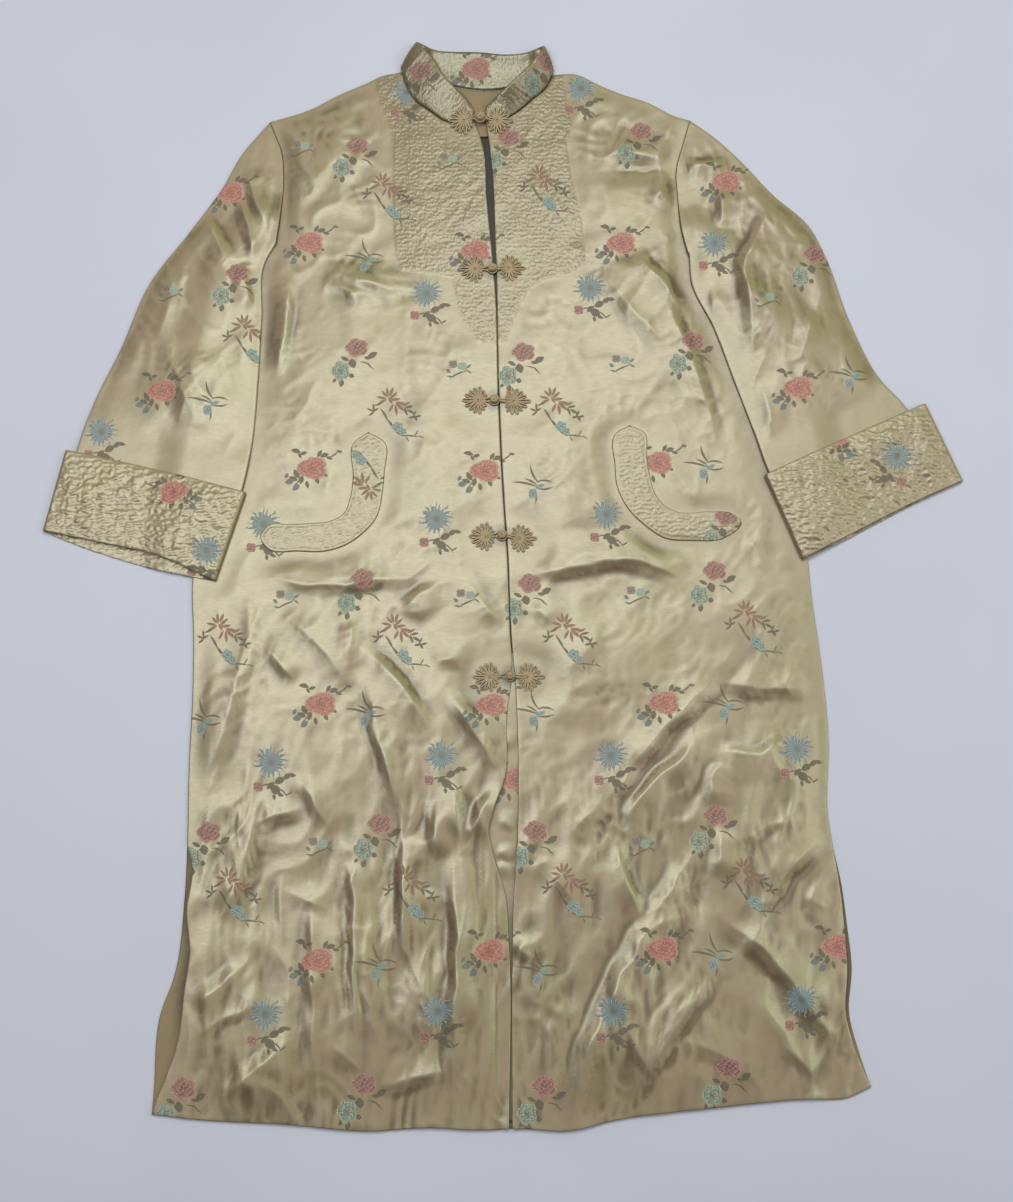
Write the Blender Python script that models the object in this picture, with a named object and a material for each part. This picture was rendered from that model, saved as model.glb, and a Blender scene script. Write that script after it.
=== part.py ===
"""A silk brocade robe with a stand collar, laid flat on a surface and built from its sewn pieces.

X runs across the robe, Y up its length with the neck at +Y, and Z up from the surface. Left and right
are as seen from above. The tables hold millimetres, and the meshes are made in metres.
"""

import math

import bmesh
import bpy
import numpy as np
from mathutils import Vector
from mathutils.geometry import delaunay_2d_cdt

MM = 0.001

# Cloth and layers
WALL = 1.2  # silk with its lining
QUILTED_WALL = 1.6
GAP = 0.3  # between layers, and between pieces that are sewn together
FRONT_Z = WALL + GAP  # underside of the fronts, on the back
OVER_UNDERLAP_Z = FRONT_Z + WALL + GAP  # underside of the fronts, on the underlap
OVER_BODY_Z = FRONT_Z + WALL + GAP  # underside of a sleeve, on a front
SLEEVE_HEIGHT = 2 * WALL + 0.4  # a sleeve pressed flat, over both its layers
CUFF_EASE = 0.6  # clearance of a cuff round the sleeve inside it
SETTLE = 24.0  # a layer is at full height this far before the edge that it climbs over
CLIMB = 34.0  # and rises over this length

# Quilting: rippled rows of stitching with padding between them
QUILT_RISE = 0.9
QUILT_ROW = 6.4
QUILT_STEP = 8.6
QUILT_WAVE = 1.3
QUILT_WAVE_LENGTH = 31.0
QUILT_FADE = 5.0  # it rises over this much beside an edge
QUILT_SPACING = 4.5  # least distance between its points

# Meshes
EDGE_STEP = 17.0
FILL_STEP = 36.0
FOLD_STEP = 17.0

# Frogs: two looped flowers, a cord loop and a ball knot
FLOWER_LOOPS = 15
FLOWER_HEIGHT = 2.4
# How far a flower's loops reach: degrees from the side away from the knot, and the length
FLOWER_REACH = [
    (0, 17.8), (20, 15.6), (45, 14.2), (70, 14.6), (95, 14.8), (120, 12.8), (145, 10.4), (180, 8.4),
]
LOOP_START = 9.5  # a button loop leaves the flower this far from its middle
KNOT_RADIUS = 4.7
KNOT_TILT = math.radians(20)
LOOP_RADIUS = 4.9
CORD_RADIUS = 0.8
FROG_LIFT = GAP + 0.05

# Hem, from the corner at the side slit to the opening: x, y
HEM = {
    "left": [(-333, -539), (-287, -544), (-207, -548), (-128, -554), (-69, -551), (-24, -553), (5, -552)],
    "right": [
        (348, -514), (324, -524), (287, -525), (199, -533), (106, -544), (58, -554), (21, -552), (8, -552),
    ],
}
# Edges of the opening, from the hem to the neckline: x, y
OPENING = {
    "left": [
        (5, -552), (5, -383), (1, -334), (-11, -294), (-15, -274), (-12, -259), (1, -221), (3, -160),
        (8, -118), (5.3, -77), (2.4, 0), (-1.6, 58), (-6.7, 163), (-9.8, 280), (-13, 325), (-18.2, 380),
        (-22, 436), (-31, 468),
    ],
    "right": [
        (8, -552), (8, -368), (14, -244), (12, -145), (7, -77), (4, 0), (0, 58), (-5, 163), (-9, 325),
        (-15, 436), (-20, 468),
    ],
}
# Shoulders, from beside the neck to the top of the armhole: x, y
SHOULDER = {
    "left": [(-124, 520), (-148, 509), (-174, 497), (-205, 480), (-247, 466)],
    "right": [(72, 521), (101, 508), (121, 499), (152, 488), (182, 472), (196, 468)],
}
# Armholes: the seam that shows, then the stretch that the sleeve hides, down to the armpit: x, y
ARMHOLE = {
    "left": [(-247, 466), (-241, 451), (-234, 433), (-231, 407), (-233, 364), (-237, 329)],
    "right": [(196, 468), (189, 444), (180, 407), (181, 386), (185, 343), (191, 318)],
}
UNDER_SLEEVE = {
    "left": [(-237, 329), (-249, 317), (-259, 299), (-270, 262), (-277, 229)],
    "right": [(191, 318), (214, 272), (272, 226)],
}
# Side seams, from the armpit to the top of the slit: x, y
SIDE_SEAM = {
    "left": [
        (-277, 229), (-292, 130), (-305, 40), (-312, -30), (-309, -85), (-308, -145), (-309, -205),
        (-308, -287),
    ],
    "right": [
        (272, 226), (288, 120), (302, 30), (308, -50), (313, -94), (319, -184), (316, -260), (320, -290),
    ],
}
# Edges of the side slits, from their top to the hem: x, y
FRONT_SLIT = {
    "left": [
        (-308, -287), (-303, -303), (-306, -352), (-302, -392), (-306, -428), (-309, -465), (-333, -539),
    ],
    "right": [(320, -290), (324, -319), (328, -364), (329, -403), (326, -447), (335, -482), (348, -514)],
}
BACK_SLIT = {
    "left": [(-308, -287), (-309, -337), (-317, -414), (-328, -446), (-332, -518), (-333, -539)],
    "right": [(320, -290), (326, -319), (331, -364), (334, -403), (330, -447), (338, -482), (348, -514)],
}
# Sleeves: the folded edges from the armhole to the turned-back cuff, then 22 mm inside it: x, y
SLEEVE_OUTER = {
    "left": [
        (-249, 467), (-276, 429), (-295, 392), (-328, 343), (-366, 289), (-395, 214), (-417, 164),
        (-434, 109), (-439, 88),
    ],
    "right": [
        (198, 468), (220, 450), (246, 425), (280, 386), (319, 348), (334, 316), (356, 247), (385, 184),
        (412, 150), (420, 130),
    ],
}
SLEEVE_INNER = {
    "left": [(-238, 329), (-247, 310), (-249, 250), (-251, 184), (-257, 103), (-264, 67), (-270, 46)],
    "right": [(192, 318), (193, 289), (215, 239), (234, 184), (253, 129), (268, 84), (277, 64)],
}
# Cuffs: the turned-back top edge and the end, from the outer side to the inner one: x, y
CUFF_TOP = {"left": [(-445, 109), (-352, 88), (-260, 64)], "right": [(430, 158), (347, 121), (263, 82)]}
CUFF_END = {
    "left": [(-464, 25), (-393, 10), (-356, 2), (-288, -27)],
    "right": [(464, 77), (409, 52), (354, 24), (298, -5)],
}
# The under layer of a cuff ends a little lower than the upper one
CUFF_END_BELOW = {
    "left": [(-464, 25), (-445, 17), (-354, -13), (-288, -27)],
    "right": [(464, 77), (408, 50), (353, 21), (298, -5)],
}
# Pocket bands: quilted J shapes round the pocket mouths: x, y
POCKET_BAND = {
    "left": [
        (-138, 128), (-121, 117), (-121, 85), (-123, 62), (-127, 42), (-146, 19), (-162, 9), (-180, 4),
        (-207, 4), (-236, 6), (-245, 18), (-235, 32), (-219, 32), (-195, 33), (-173, 36), (-161, 44),
        (-156, 57), (-153, 80), (-153, 116),
    ],
    "right": [
        (128, 135), (113, 126), (112, 93), (114, 72), (128, 44), (139, 33), (163, 17), (188, 15), (222, 18),
        (239, 34), (230, 43), (210, 45), (174, 45), (162, 51), (153, 63), (148, 80), (145, 100), (143, 127),
    ],
}
# Quilted yokes: the edge of the quilting, from the shoulder to the opening: x, y
YOKE = {
    "left": [
        (-138, 560), (-136, 500), (-118, 448), (-117, 357), (-113, 314), (-107, 300), (-75, 295),
        (-55, 291), (-51, 272), (-43, 246), (-27, 221), (20, 221), (20, 560),
    ],
    "right": [
        (59, 560), (66, 500), (73, 462), (67, 436), (74, 391), (83, 352), (85, 312), (74, 298), (42, 289),
        (28, 279), (16, 259), (4, 221), (-50, 221), (-50, 560),
    ],
}
# Middle line of the underlap, the strip that closes the opening from behind: x, y
UNDERLAP = [(-18, 450), (-8, 163), (4, -85), (6, -245), (6, -546)]
UNDERLAP_HALF = 28.0
UNDERLAP_SETTLE = 38.0  # the fronts are level this far beside it, under the frogs

# Collar, from its left front end round the neck: stretch, seam x, y, z, top edge x, y, z
COLLAR_WALL = 2.0
COLLAR_BULGE = 1.5
BACK_NECK_CLEAR = 2.0  # from the collar's middle surface to the back's edge
FRONT_NECK_CLEAR = 1.2
NECK_MIDDLE = (-28, 505)
COLLAR = [
    ("left", -34, 471, 3.2, -32, 479, 4.0),
    ("left", -47, 467, 3.2, -36, 486, 5.0),
    ("left", -61, 467, 3.2, -41, 492, 8),
    ("left", -76, 477, 3.2, -52, 501, 13),
    ("left", -93, 490, 3.4, -64, 514, 15),
    ("left", -103, 507, 4.2, -74, 532, 15),
    ("left", -107, 521, 6.0, -89, 549, 13),
    ("turn", -109.5, 525, 4.2, -92, 554, 9),
    ("back", -107, 525, 1.8, -89, 554, 6),
    ("back", -84, 517, 1.5, -74, 546, 7),
    ("back", -54, 508, 1.5, -54, 543, 8),
    ("back", -24, 503, 1.5, -26, 542, 9),
    ("back", 1, 505, 1.5, 1, 540, 8),
    ("back", 27, 512, 1.5, 24, 543, 7),
    ("back", 49, 521, 1.8, 39, 550, 6),
    ("turn", 52, 521, 4.2, 42, 549, 10),
    ("right", 50, 517, 6.0, 41, 544, 15),
    ("right", 44, 505, 4.2, 28, 525, 18),
    ("right", 28, 490, 3.4, 6, 502, 18),
    ("right", 14, 478, 3.2, -6, 493, 12),
    ("right", 0, 470, 3.2, -14, 487, 6.5),
    ("right", -10, 468, 3.2, -19, 483, 5.0),
    ("right", -18, 471, 3.2, -20, 479, 4.0),
]

# Frogs, from the neck down: left flower x, y, knot x, y, right flower x, y, height and tilt in degrees
FROGS = [
    (-42, 466, -25, 469, -8.0, 466, 6.9, 7),
    (-30, 302, -12, 302, 4.5, 303, 0, 0),
    (-26, 161, -10, 161, 9.5, 160, 0, 0),
    (-18.5, 19, -2, 20, 15.5, 17, 0, 0),
    (-14, -123, 6, -122, 23, -123, 0, 0),
]
FROG_REACH = 19.0  # the quilting is pressed flat this far round a flower
FROG_CALM = 27.0  # and the folds die out this far from it

# Folds of the cloth: points of the crest, half width, height, lean. A height below 0 is a trough, and a
# fold that leans is steep on its right (+) or left (-) side, seen along its points.
FRONT_FOLDS = {
    "left": [
        ([(-262, -22), (-221, -26), (-172, -31), (-138, -26), (-66, -21)], 15, 5, 0.4),
        ([(-62, -24), (-109, -63)], 11, 4, 0.3),
        ([(-44, -16), (-2, -74)], 11, 4, -0.3),
        ([(-75, -106), (-22, -104)], 11, 3.5, 0.3),
        ([(-153, -55), (-152, -118)], 12, 4, 0.3),
        ([(-150, -88), (-112, -122), (-66, -184)], 16, 8, -0.5),
        ([(-226, -52), (-182, -92), (-150, -136)], 19, 6, 0.3),
        ([(-242, -84), (-201, -132)], 14, 4.5, 0.3),
        ([(-252, -51), (-262, -119), (-280, -189), (-298, -240)], 17, 5.5, -0.3),
        ([(-137, -119), (-118, -194), (-96, -282)], 15, 6, 0.4),
        ([(-58, -130), (-4, -219)], 14, 6.5, 0.4),
        ([(-205, -214), (-165, -278)], 13, 4.5, 0.3),
        ([(-250, -268), (-192, -250)], 12, 4, 0.3),
        ([(-66, -240), (-68, -305)], 12, 5, 0.4),
        ([(-52, -218), (-40, -298)], 11, 5, -0.3),
        ([(-8, -226), (-37, -288)], 12, 6, 0.4),
        ([(-163, -270), (-147, -321), (-143, -400), (-142, -500)], 13, 7, 0.5),
        ([(-187, -300), (-184, -400), (-178, -522)], 15, 5, 0.4),
        ([(-99, -260), (-97, -330), (-97, -412)], 13, 8, 0.5),
        ([(-49, -272), (-45, -400), (-48, -535)], 15, 8, 0.4),
        ([(-70, -390), (-86, -490)], 13, 5, -0.3),
        ([(-124, -514), (-48, -496)], 12, 4, 0.3),
        ([(-195, -462), (-272, -532)], 16, 6, 0.4),
        ([(-248, -400), (-298, -444)], 13, 5, 0.3),
        ([(-247, -244), (-252, -314), (-276, -366)], 17, 6, -0.3),
        ([(-220, 300), (-226, 239), (-236, 180)], 12, 5, -0.4),
        ([(-190, 284), (-160, 281), (-148, 252)], 11, 4.5, 0.4),
        ([(-176, 299), (-141, 288), (-100, 275)], 11, 4, 0.4),
    ],
    "right": [
        ([(14, -20), (74, -12), (105, -6), (161, -16), (192, -36)], 15, 7, 0.5),
        ([(25, -48), (52, -72)], 10, 3, 0.3),
        ([(242, -70), (195, -139), (150, -181), (128, -210), (90, -255), (46, -273)], 18, 7, -0.4),
        ([(193, -164), (186, -190), (145, -228), (105, -279)], 14, 6, 0.4),
        ([(204, -126), (260, -134), (312, -130)], 15, 4.5, 0.4),
        ([(208, -192), (251, -199), (282, -180)], 12, 4.5, -0.4),
        ([(217, -205), (204, -223), (202, -252)], 11, 4.5, 0.4),
        ([(213, -266), (208, -323)], 12, 4.5, 0.3),
        ([(318, -276), (282, -302), (255, -340), (242, -364)], 17, 7.5, -0.4),
        ([(107, -277), (113, -305), (135, -368)], 14, 5.5, -0.4),
        ([(178, -300), (136, -370)], 13, 5, 0.3),
        ([(200, -350), (142, -367), (117, -406), (87, -467), (60, -552)], 20, 10, 0.4),
        ([(196, -352), (229, -369), (266, -403), (298, -447), (332, -484)], 20, 9, 0.4),
        ([(211, -392), (177, -438), (147, -479), (108, -542)], 16, 7, -0.4),
        ([(8, -378), (30, -397)], 10, 4, 0.3),
        ([(94, 409), (149, 411), (180, 409)], 13, -4, 0),
        ([(98, 424), (140, 430), (176, 420)], 12, 4, 0.3),
        ([(153, 400), (180, 366)], 12, 4.5, 0.3),
        ([(128, 326), (145, 306), (192, 250)], 15, 6, -0.4),
        ([(98, 304), (138, 250), (174, 208)], 15, 5.5, 0.4),
    ],
}
# Broad air under the cloth: x, y, half width, half length, height
FRONT_SWELLS = {
    "left": [
        (-180, 400, 60, 70, 2.5), (-190, 190, 50, 80, 3), (-80, 100, 50, 90, 2), (-200, -150, 80, 90, 4),
        (-80, -180, 50, 80, 3), (-120, -430, 90, 90, 4), (-230, -480, 70, 60, 4),
    ],
    "right": [
        (120, 380, 60, 70, 3), (150, 230, 60, 70, 3), (70, 90, 50, 90, 2), (110, -110, 80, 70, 4),
        (250, -240, 60, 70, 4), (70, -340, 60, 90, 3), (190, -480, 110, 60, 5), (230, -60, 60, 40, 3),
    ],
}
SLEEVE_FOLDS = {
    "left": [
        ([(-320, 366), (-300, 336), (-278, 300)], 13, 5, -0.4),
        ([(-277, 385), (-266, 350), (-256, 300)], 10, 4.5, 0.4),
        ([(-272, 415), (-258, 378), (-243, 340)], 9, 4, 0.4),
        ([(-272, 308), (-256, 248)], 11, 4.5, -0.3),
        ([(-350, 250), (-330, 180), (-300, 110)], 18, 3, 0.3),
    ],
    "right": [
        ([(186, 418), (213, 416), (236, 424)], 10, 5, -0.4),
        ([(282, 386), (266, 343), (248, 308), (254, 259), (257, 190)], 16, 8, 0.5),
        ([(228, 396), (227, 343)], 11, 4.5, 0.4),
        ([(322, 262), (303, 198)], 16, 5, 0.3),
        ([(212, 284), (214, 259), (216, 226)], 9, 4.5, 0.4),
        ([(262, 186), (278, 96)], 11, 4, 0.4),
    ],
}
SLEEVE_SWELLS = {
    "left": [(-320, 250, 45, 90, 5), (-340, 150, 60, 50, 3)],
    "right": [(280, 300, 45, 80, 5), (330, 190, 55, 60, 4)],
}

# Colours (sRGB hex) and roughness of each kind of piece
FINISHES = {
    "satin": ("C8BC96", 0.40),
    "quilted satin": ("CDBB8F", 0.45),
    "silk cord": ("A6987A", 0.55),
    "knotted cord": ("C9B380", 0.50),
}


def smooth_line(rows, step):
    """Points about `step` apart on a smooth curve through a table's rows."""
    rows = np.array(rows, float)
    reach = np.concatenate([[0], np.cumsum(np.linalg.norm(np.diff(rows, axis=0), axis=1))])
    slopes = np.gradient(rows, reach, axis=0)
    fine = []
    for i in range(len(rows) - 1):
        span = reach[i + 1] - reach[i]
        t = np.linspace(0, 1, 24, endpoint=False)[:, None]
        fine.append(
            (2 * t**3 - 3 * t**2 + 1) * rows[i]
            + (t**3 - 2 * t**2 + t) * span * slopes[i]
            + (3 * t**2 - 2 * t**3) * rows[i + 1]
            + (t**3 - t**2) * span * slopes[i + 1]
        )
    fine = np.vstack(fine + [rows[-1:]])
    length = np.concatenate([[0], np.cumsum(np.linalg.norm(np.diff(fine, axis=0), axis=1))])
    places = np.linspace(0, length[-1], max(2, round(length[-1] / step) + 1))
    return np.column_stack([np.interp(places, length, column) for column in fine.T])


def joined(*lines):
    """One closed outline from lines that meet at their ends."""
    return np.vstack([line[:-1] for line in lines])


def chained(*lines):
    """One open line from lines that meet at their ends."""
    return np.vstack([lines[0], *[line[1:] for line in lines[1:]]])


def nearest_on(points, line):
    """For each point, its distance to a line, its side (+1 is the left) and its share of the length."""
    line = np.asarray(line, float)
    run = np.diff(line, axis=0)
    length = np.linalg.norm(run, axis=1)
    reach = points[:, None] - line[None, :-1]
    t = np.clip((reach * run).sum(-1) / length**2, 0, 1)
    distance = np.linalg.norm(reach - t[..., None] * run, axis=-1)
    best = distance.argmin(axis=1)
    each = np.arange(len(points))
    offset = reach[each, best]
    side = np.sign(run[best, 0] * offset[:, 1] - run[best, 1] * offset[:, 0])
    before = np.concatenate([[0], np.cumsum(length)])
    share = (before[best] + t[each, best] * length[best]) / before[-1]
    return distance[each, best], side, share


def inside(points, outline):
    """Whether each point lies in a closed outline."""
    x, y = points[:, :1], points[:, 1:]
    x0, y0 = np.asarray(outline, float).T
    x1, y1 = np.roll(x0, -1), np.roll(y0, -1)
    level = np.where(y1 == y0, 1e-9, y1 - y0)
    crosses = ((y0 > y) != (y1 > y)) & (x < (x1 - x0) * (y - y0) / level + x0)
    return crosses.sum(axis=1) % 2 == 1


def rising(value):
    """0 below 0, 1 above 1, and a smooth step between."""
    t = np.clip(value, 0, 1)
    return t * t * (3 - 2 * t)


def outside(points, outline, margin, reach):
    """0 in an outline and its margin, rising to 1 over `reach` outside them."""
    closed = np.vstack([outline, outline[:1]])
    distance = nearest_on(points, closed)[0]
    return np.where(inside(points, outline), 0, rising((distance - margin) / reach))


def fold_height(points, folds, swells):
    """Height of the folds and the broad swells at each point, never under 0."""
    height = np.zeros(len(points))
    for x, y, half_width, half_length, rise in swells:
        away = ((points - [x, y]) / [half_width, half_length]) ** 2
        height += rise * np.exp(-away.sum(axis=1))
    for line, half_width, rise, lean in folds:
        distance, side, share = nearest_on(points, smooth_line(line, 12))
        width = half_width * (1 + lean * side)
        across = np.clip(1 - (distance / width) ** 2, 0, None) ** 2
        height += rise * across * rising(share / 0.3) * rising((1 - share) / 0.3)
    return np.maximum(height, 0)


def quilt_height(points):
    """Height of the quilting's rippled rows."""
    ripple = QUILT_WAVE * np.sin(2 * math.pi * points[:, 0] / QUILT_WAVE_LENGTH)
    return QUILT_RISE * (0.5 + 0.5 * np.cos(math.pi * (points[:, 1] - ripple) / QUILT_ROW))


def lattice(outline, across, along, ripple=0.0):
    """Points over an outline's box, every second row shifted by half a step."""
    low, high = outline.min(axis=0), outline.max(axis=0)
    found = []
    for row in range(math.floor(low[1] / along), math.ceil(high[1] / along) + 1):
        x = np.arange(low[0], high[0], across) + (row % 2) * across / 2
        y = row * along + ripple * np.sin(2 * math.pi * x / QUILT_WAVE_LENGTH)
        found.append(np.column_stack([x, y]))
    return np.vstack(found)


def fold_points(folds):
    """Points along each fold's crest and at its two feet."""
    crests, feet = [], []
    for line, half_width, _, lean in folds:
        crest = smooth_line(line, FOLD_STEP)
        run = np.gradient(crest, axis=0)
        normal = np.column_stack([-run[:, 1], run[:, 0]]) / np.linalg.norm(run, axis=1)[:, None]
        crests.append(crest)
        feet += [crest + normal * half_width * (1 + lean), crest - normal * half_width * (1 - lean)]
    return np.vstack(crests), np.vstack(feet)


def spread(outline, layers):
    """An outline's points, then those of each (points, spacing) layer that keep their distance."""
    kept = outline
    closed = np.vstack([outline, outline[:1]])
    for points, spacing in layers:
        clear = inside(points, outline) & (nearest_on(points, closed)[0] > 0.4 * spacing)
        for point in points[clear]:
            if np.linalg.norm(kept - point, axis=1).min() > spacing:
                kept = np.vstack([kept, point])
    return kept


def triangles_over(points, border):
    """Triangles between points, of which the first `border` are the closed outline."""
    edges = [(i, (i + 1) % border) for i in range(border)]
    found = delaunay_2d_cdt([Vector(point) for point in points], edges, [], 1, 1e-4)
    return [[found[3][corner][0] for corner in face] for face in found[2]]


def add_sheet(mesh, points, heights, triangles):
    """The points of one surface of a wall, with its faces."""
    corners = [mesh.verts.new((x * MM, y * MM, z * MM)) for (x, y), z in zip(points, heights)]
    for triangle in triangles:
        mesh.faces.new([corners[i] for i in triangle])
    return corners


def add_strip(mesh, first, second, closed=False):
    """Faces between two edges that have as many points."""
    pairs = list(zip(first, second))
    if closed:
        pairs.append(pairs[0])
    for (a, b), (c, d) in zip(pairs, pairs[1:]):
        mesh.faces.new((a, c, d, b))


def material_of(kind, name):
    """A finish from the table, one for each piece."""
    colour, roughness = FINISHES[kind]
    material = bpy.data.materials.new(name)
    material.use_nodes = True
    shader = material.node_tree.nodes["Principled BSDF"]
    channels = [int(colour[i : i + 2], 16) / 255 for i in (0, 2, 4)]
    linear = [c / 12.92 if c <= 0.04045 else ((c + 0.055) / 1.055) ** 2.4 for c in channels]
    shader.inputs["Base Color"].default_value = (*linear, 1)
    shader.inputs["Roughness"].default_value = roughness
    return material


def finish(mesh, name, kind, collection):
    """Turns a bmesh into a named, shaded object."""
    bmesh.ops.recalc_face_normals(mesh, faces=mesh.faces)
    data = bpy.data.meshes.new(name)
    mesh.to_mesh(data)
    mesh.free()
    data.shade_smooth()
    data.set_sharp_from_angle(angle=math.radians(50))
    piece = bpy.data.objects.new(name, data)
    data.materials.append(material_of(kind, name))
    collection.objects.link(piece)
    return piece


def panel(name, kind, collection, outline, under, over, low_points, high_points):
    """A wall over an outline, from its underside `under(points)` to its upper side `over(points)`."""
    mesh = bmesh.new()
    border = len(outline)
    edges = []
    for points, height in ((high_points, over), (low_points, under)):
        triangles = triangles_over(points, border)
        edges.append(add_sheet(mesh, points, height(points), triangles)[:border])
    add_strip(mesh, edges[0], edges[1], closed=True)
    return finish(mesh, name, kind, collection)


def tube(name, kind, collection, sides, heights, point_sets, wall):
    """A tube pressed flat: its mouths are the first and third of its four sides.

    `sides` holds four lines in order, and `heights` the functions for the outer upper, outer lower,
    inner upper and inner lower surfaces. `point_sets` gives the inner points of each surface, and a
    mouth may end lower on the under layer.
    """
    mesh = bmesh.new()
    corners = []
    for lines, height, layers, inset in zip(sides, heights, point_sets, (0, 0, wall, wall)):
        outline, counts = joined(*lines), [len(line) - 1 for line in lines]
        if inset:
            outline = inset_sides(outline, counts, inset)
        points = spread(outline, layers)
        triangles = triangles_over(points, len(outline))
        corners.append(add_sheet(mesh, points, height(points), triangles)[: len(outline)])
    first, second, third = counts[0], counts[0] + counts[1], sum(counts[:3])
    for upper, lower in (corners[:2], corners[2:]):
        add_strip(mesh, upper[first : second + 1], lower[first : second + 1])
        add_strip(mesh, upper[third:] + upper[:1], lower[third:] + lower[:1])
    for start, end in ((0, first), (second, third)):
        add_strip(mesh, corners[0][start : end + 1], corners[2][start : end + 1])
        add_strip(mesh, corners[1][start : end + 1], corners[3][start : end + 1])
        for corner in (start, end):
            mesh.faces.new([corners[i][corner] for i in (0, 1, 3, 2)])
    return finish(mesh, name, kind, collection)


def inset_sides(outline, counts, wall):
    """A tube's outline with its two folded sides moved in by the wall."""
    run = np.roll(outline, -1, axis=0) - np.roll(outline, 1, axis=0)
    inward = np.column_stack([-run[:, 1], run[:, 0]]) / np.linalg.norm(run, axis=1)[:, None]
    if not inside(outline[[1]] + inward[[1]] * 0.5, outline)[0]:
        inward = -inward
    moved = outline.copy()
    first, second, third = counts[0], counts[0] + counts[1], sum(counts[:3])
    for i in [*range(first + 1, second), *range(third + 1, len(outline))]:
        moved[i] += inward[i] * wall
    for corner, neighbour in ((0, 1), (first, first - 1), (second, second + 1), (third, third - 1)):
        along = outline[neighbour] - outline[corner]
        moved[corner] += along / np.linalg.norm(along) * wall
    return moved


def stretched(points, height, wall):
    """Upright thickness of a wall whose true thickness is `wall`, on a sloping surface."""
    step = 1.0
    here = height(points)
    slope_x = (height(points + [step, 0]) - here) / step
    slope_y = (height(points + [0, step]) - here) / step
    return wall * np.sqrt(1 + slope_x**2 + slope_y**2)


def neckline(stretch):
    """The panel edge beside a stretch of the collar's seam, a little clear of it."""
    rows = np.array([row[1:3] for row in COLLAR if row[0] == stretch], float)
    if stretch == "back":
        return rows - [0, BACK_NECK_CLEAR]
    away = rows - NECK_MIDDLE
    return rows + away / np.linalg.norm(away, axis=1)[:, None] * FRONT_NECK_CLEAR


def front_outline(side):
    neck = neckline(side)[:: 1 if side == "left" else -1]
    neck[0] = OPENING[side][-1]
    return joined(
        smooth_line(HEM[side], EDGE_STEP),
        smooth_line(OPENING[side], EDGE_STEP),
        smooth_line(neck, 9),
        smooth_line([neck[-1], *SHOULDER[side]], EDGE_STEP),
        smooth_line(ARMHOLE[side], EDGE_STEP),
        smooth_line(UNDER_SLEEVE[side], EDGE_STEP),
        smooth_line(SIDE_SEAM[side], EDGE_STEP),
        smooth_line(FRONT_SLIT[side], EDGE_STEP),
    )


def back_outline():
    neck = neckline("back")
    step = 2 * EDGE_STEP
    left = [
        smooth_line(HEM["left"][::-1], step),
        smooth_line(BACK_SLIT["left"][::-1], step),
        smooth_line(SIDE_SEAM["left"][::-1], step),
        smooth_line(UNDER_SLEEVE["left"][::-1], step),
        smooth_line(ARMHOLE["left"][::-1], EDGE_STEP),
        smooth_line([*SHOULDER["left"][::-1], neck[0]], step),
    ]
    right = [
        smooth_line([neck[-1], *SHOULDER["right"]], step),
        smooth_line(ARMHOLE["right"], EDGE_STEP),
        smooth_line(UNDER_SLEEVE["right"], step),
        smooth_line(SIDE_SEAM["right"], step),
        smooth_line(BACK_SLIT["right"], step),
        smooth_line(HEM["right"], step),
    ]
    opening_foot = np.array([HEM["right"][-1], HEM["left"][-1]], float)
    return joined(*left, smooth_line(neck, step), *right, opening_foot)


def sleeve_outline(side):
    return joined(
        smooth_line(SLEEVE_OUTER[side], EDGE_STEP),
        np.array([SLEEVE_OUTER[side][-1], SLEEVE_INNER[side][-1]], float),
        smooth_line(SLEEVE_INNER[side][::-1], EDGE_STEP),
        np.array([SLEEVE_INNER[side][0], SLEEVE_OUTER[side][0]], float),
    )


def cuff_outline(side):
    return np.array([*CUFF_TOP[side], *CUFF_END_BELOW[side][::-1]], float)


def frog_middles():
    return np.array([row[i : i + 2] for row in FROGS for i in (0, 2, 4)], float)


def far_from_frogs(points, reach):
    """0 under the frogs, rising to 1 around them."""
    distance = np.linalg.norm(points[:, None] - frog_middles()[None], axis=-1).min(axis=1)
    return rising((distance - reach) / 9)


def calm_points(side):
    """Points where a front is level: round the frogs, and along what lies on it."""
    turn = np.radians(np.arange(0, 360, 36))
    ring = FROG_REACH * np.column_stack([np.cos(turn), np.sin(turn)])
    rings = np.vstack([middle + ring for middle in frog_middles()])
    band = smooth_line(POCKET_BAND[side] + POCKET_BAND[side][:1], 14)
    sleeve = smooth_line(SLEEVE_INNER[side], 14)
    cuff = smooth_line([CUFF_TOP[side][-1], CUFF_END_BELOW[side][-1]], 14)
    cuff_end = smooth_line(CUFF_END_BELOW[side], 14)
    return np.vstack([rings, band, sleeve, cuff, cuff_end])


def front_under(side):
    """The underside of a front: on the back, up over the underlap, and raised by its folds."""
    seams = (SHOULDER[side], ARMHOLE[side], UNDER_SLEEVE[side], SIDE_SEAM[side])
    sewn = chained(*[smooth_line(rows, 20) for rows in seams])
    band = smooth_line(POCKET_BAND[side] + POCKET_BAND[side][:1], 8)[:-1]
    middle = smooth_line(UNDERLAP, 40)

    def height(points):
        from_underlap = nearest_on(points, middle)[0] - UNDERLAP_HALF
        step = 1 - rising((from_underlap - UNDERLAP_SETTLE) / CLIMB)
        hold = rising(nearest_on(points, sewn)[0] / 22)
        for pressing in (sleeve_outline(side), cuff_outline(side)):
            hold = hold * outside(points, pressing, 4, 16)
        hold = hold * outside(points, band, 6, 14) * far_from_frogs(points, FROG_CALM)
        return (
            FRONT_Z
            + (OVER_UNDERLAP_Z - FRONT_Z) * step
            + hold * fold_height(points, FRONT_FOLDS[side], FRONT_SWELLS[side])
        )

    return height


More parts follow.
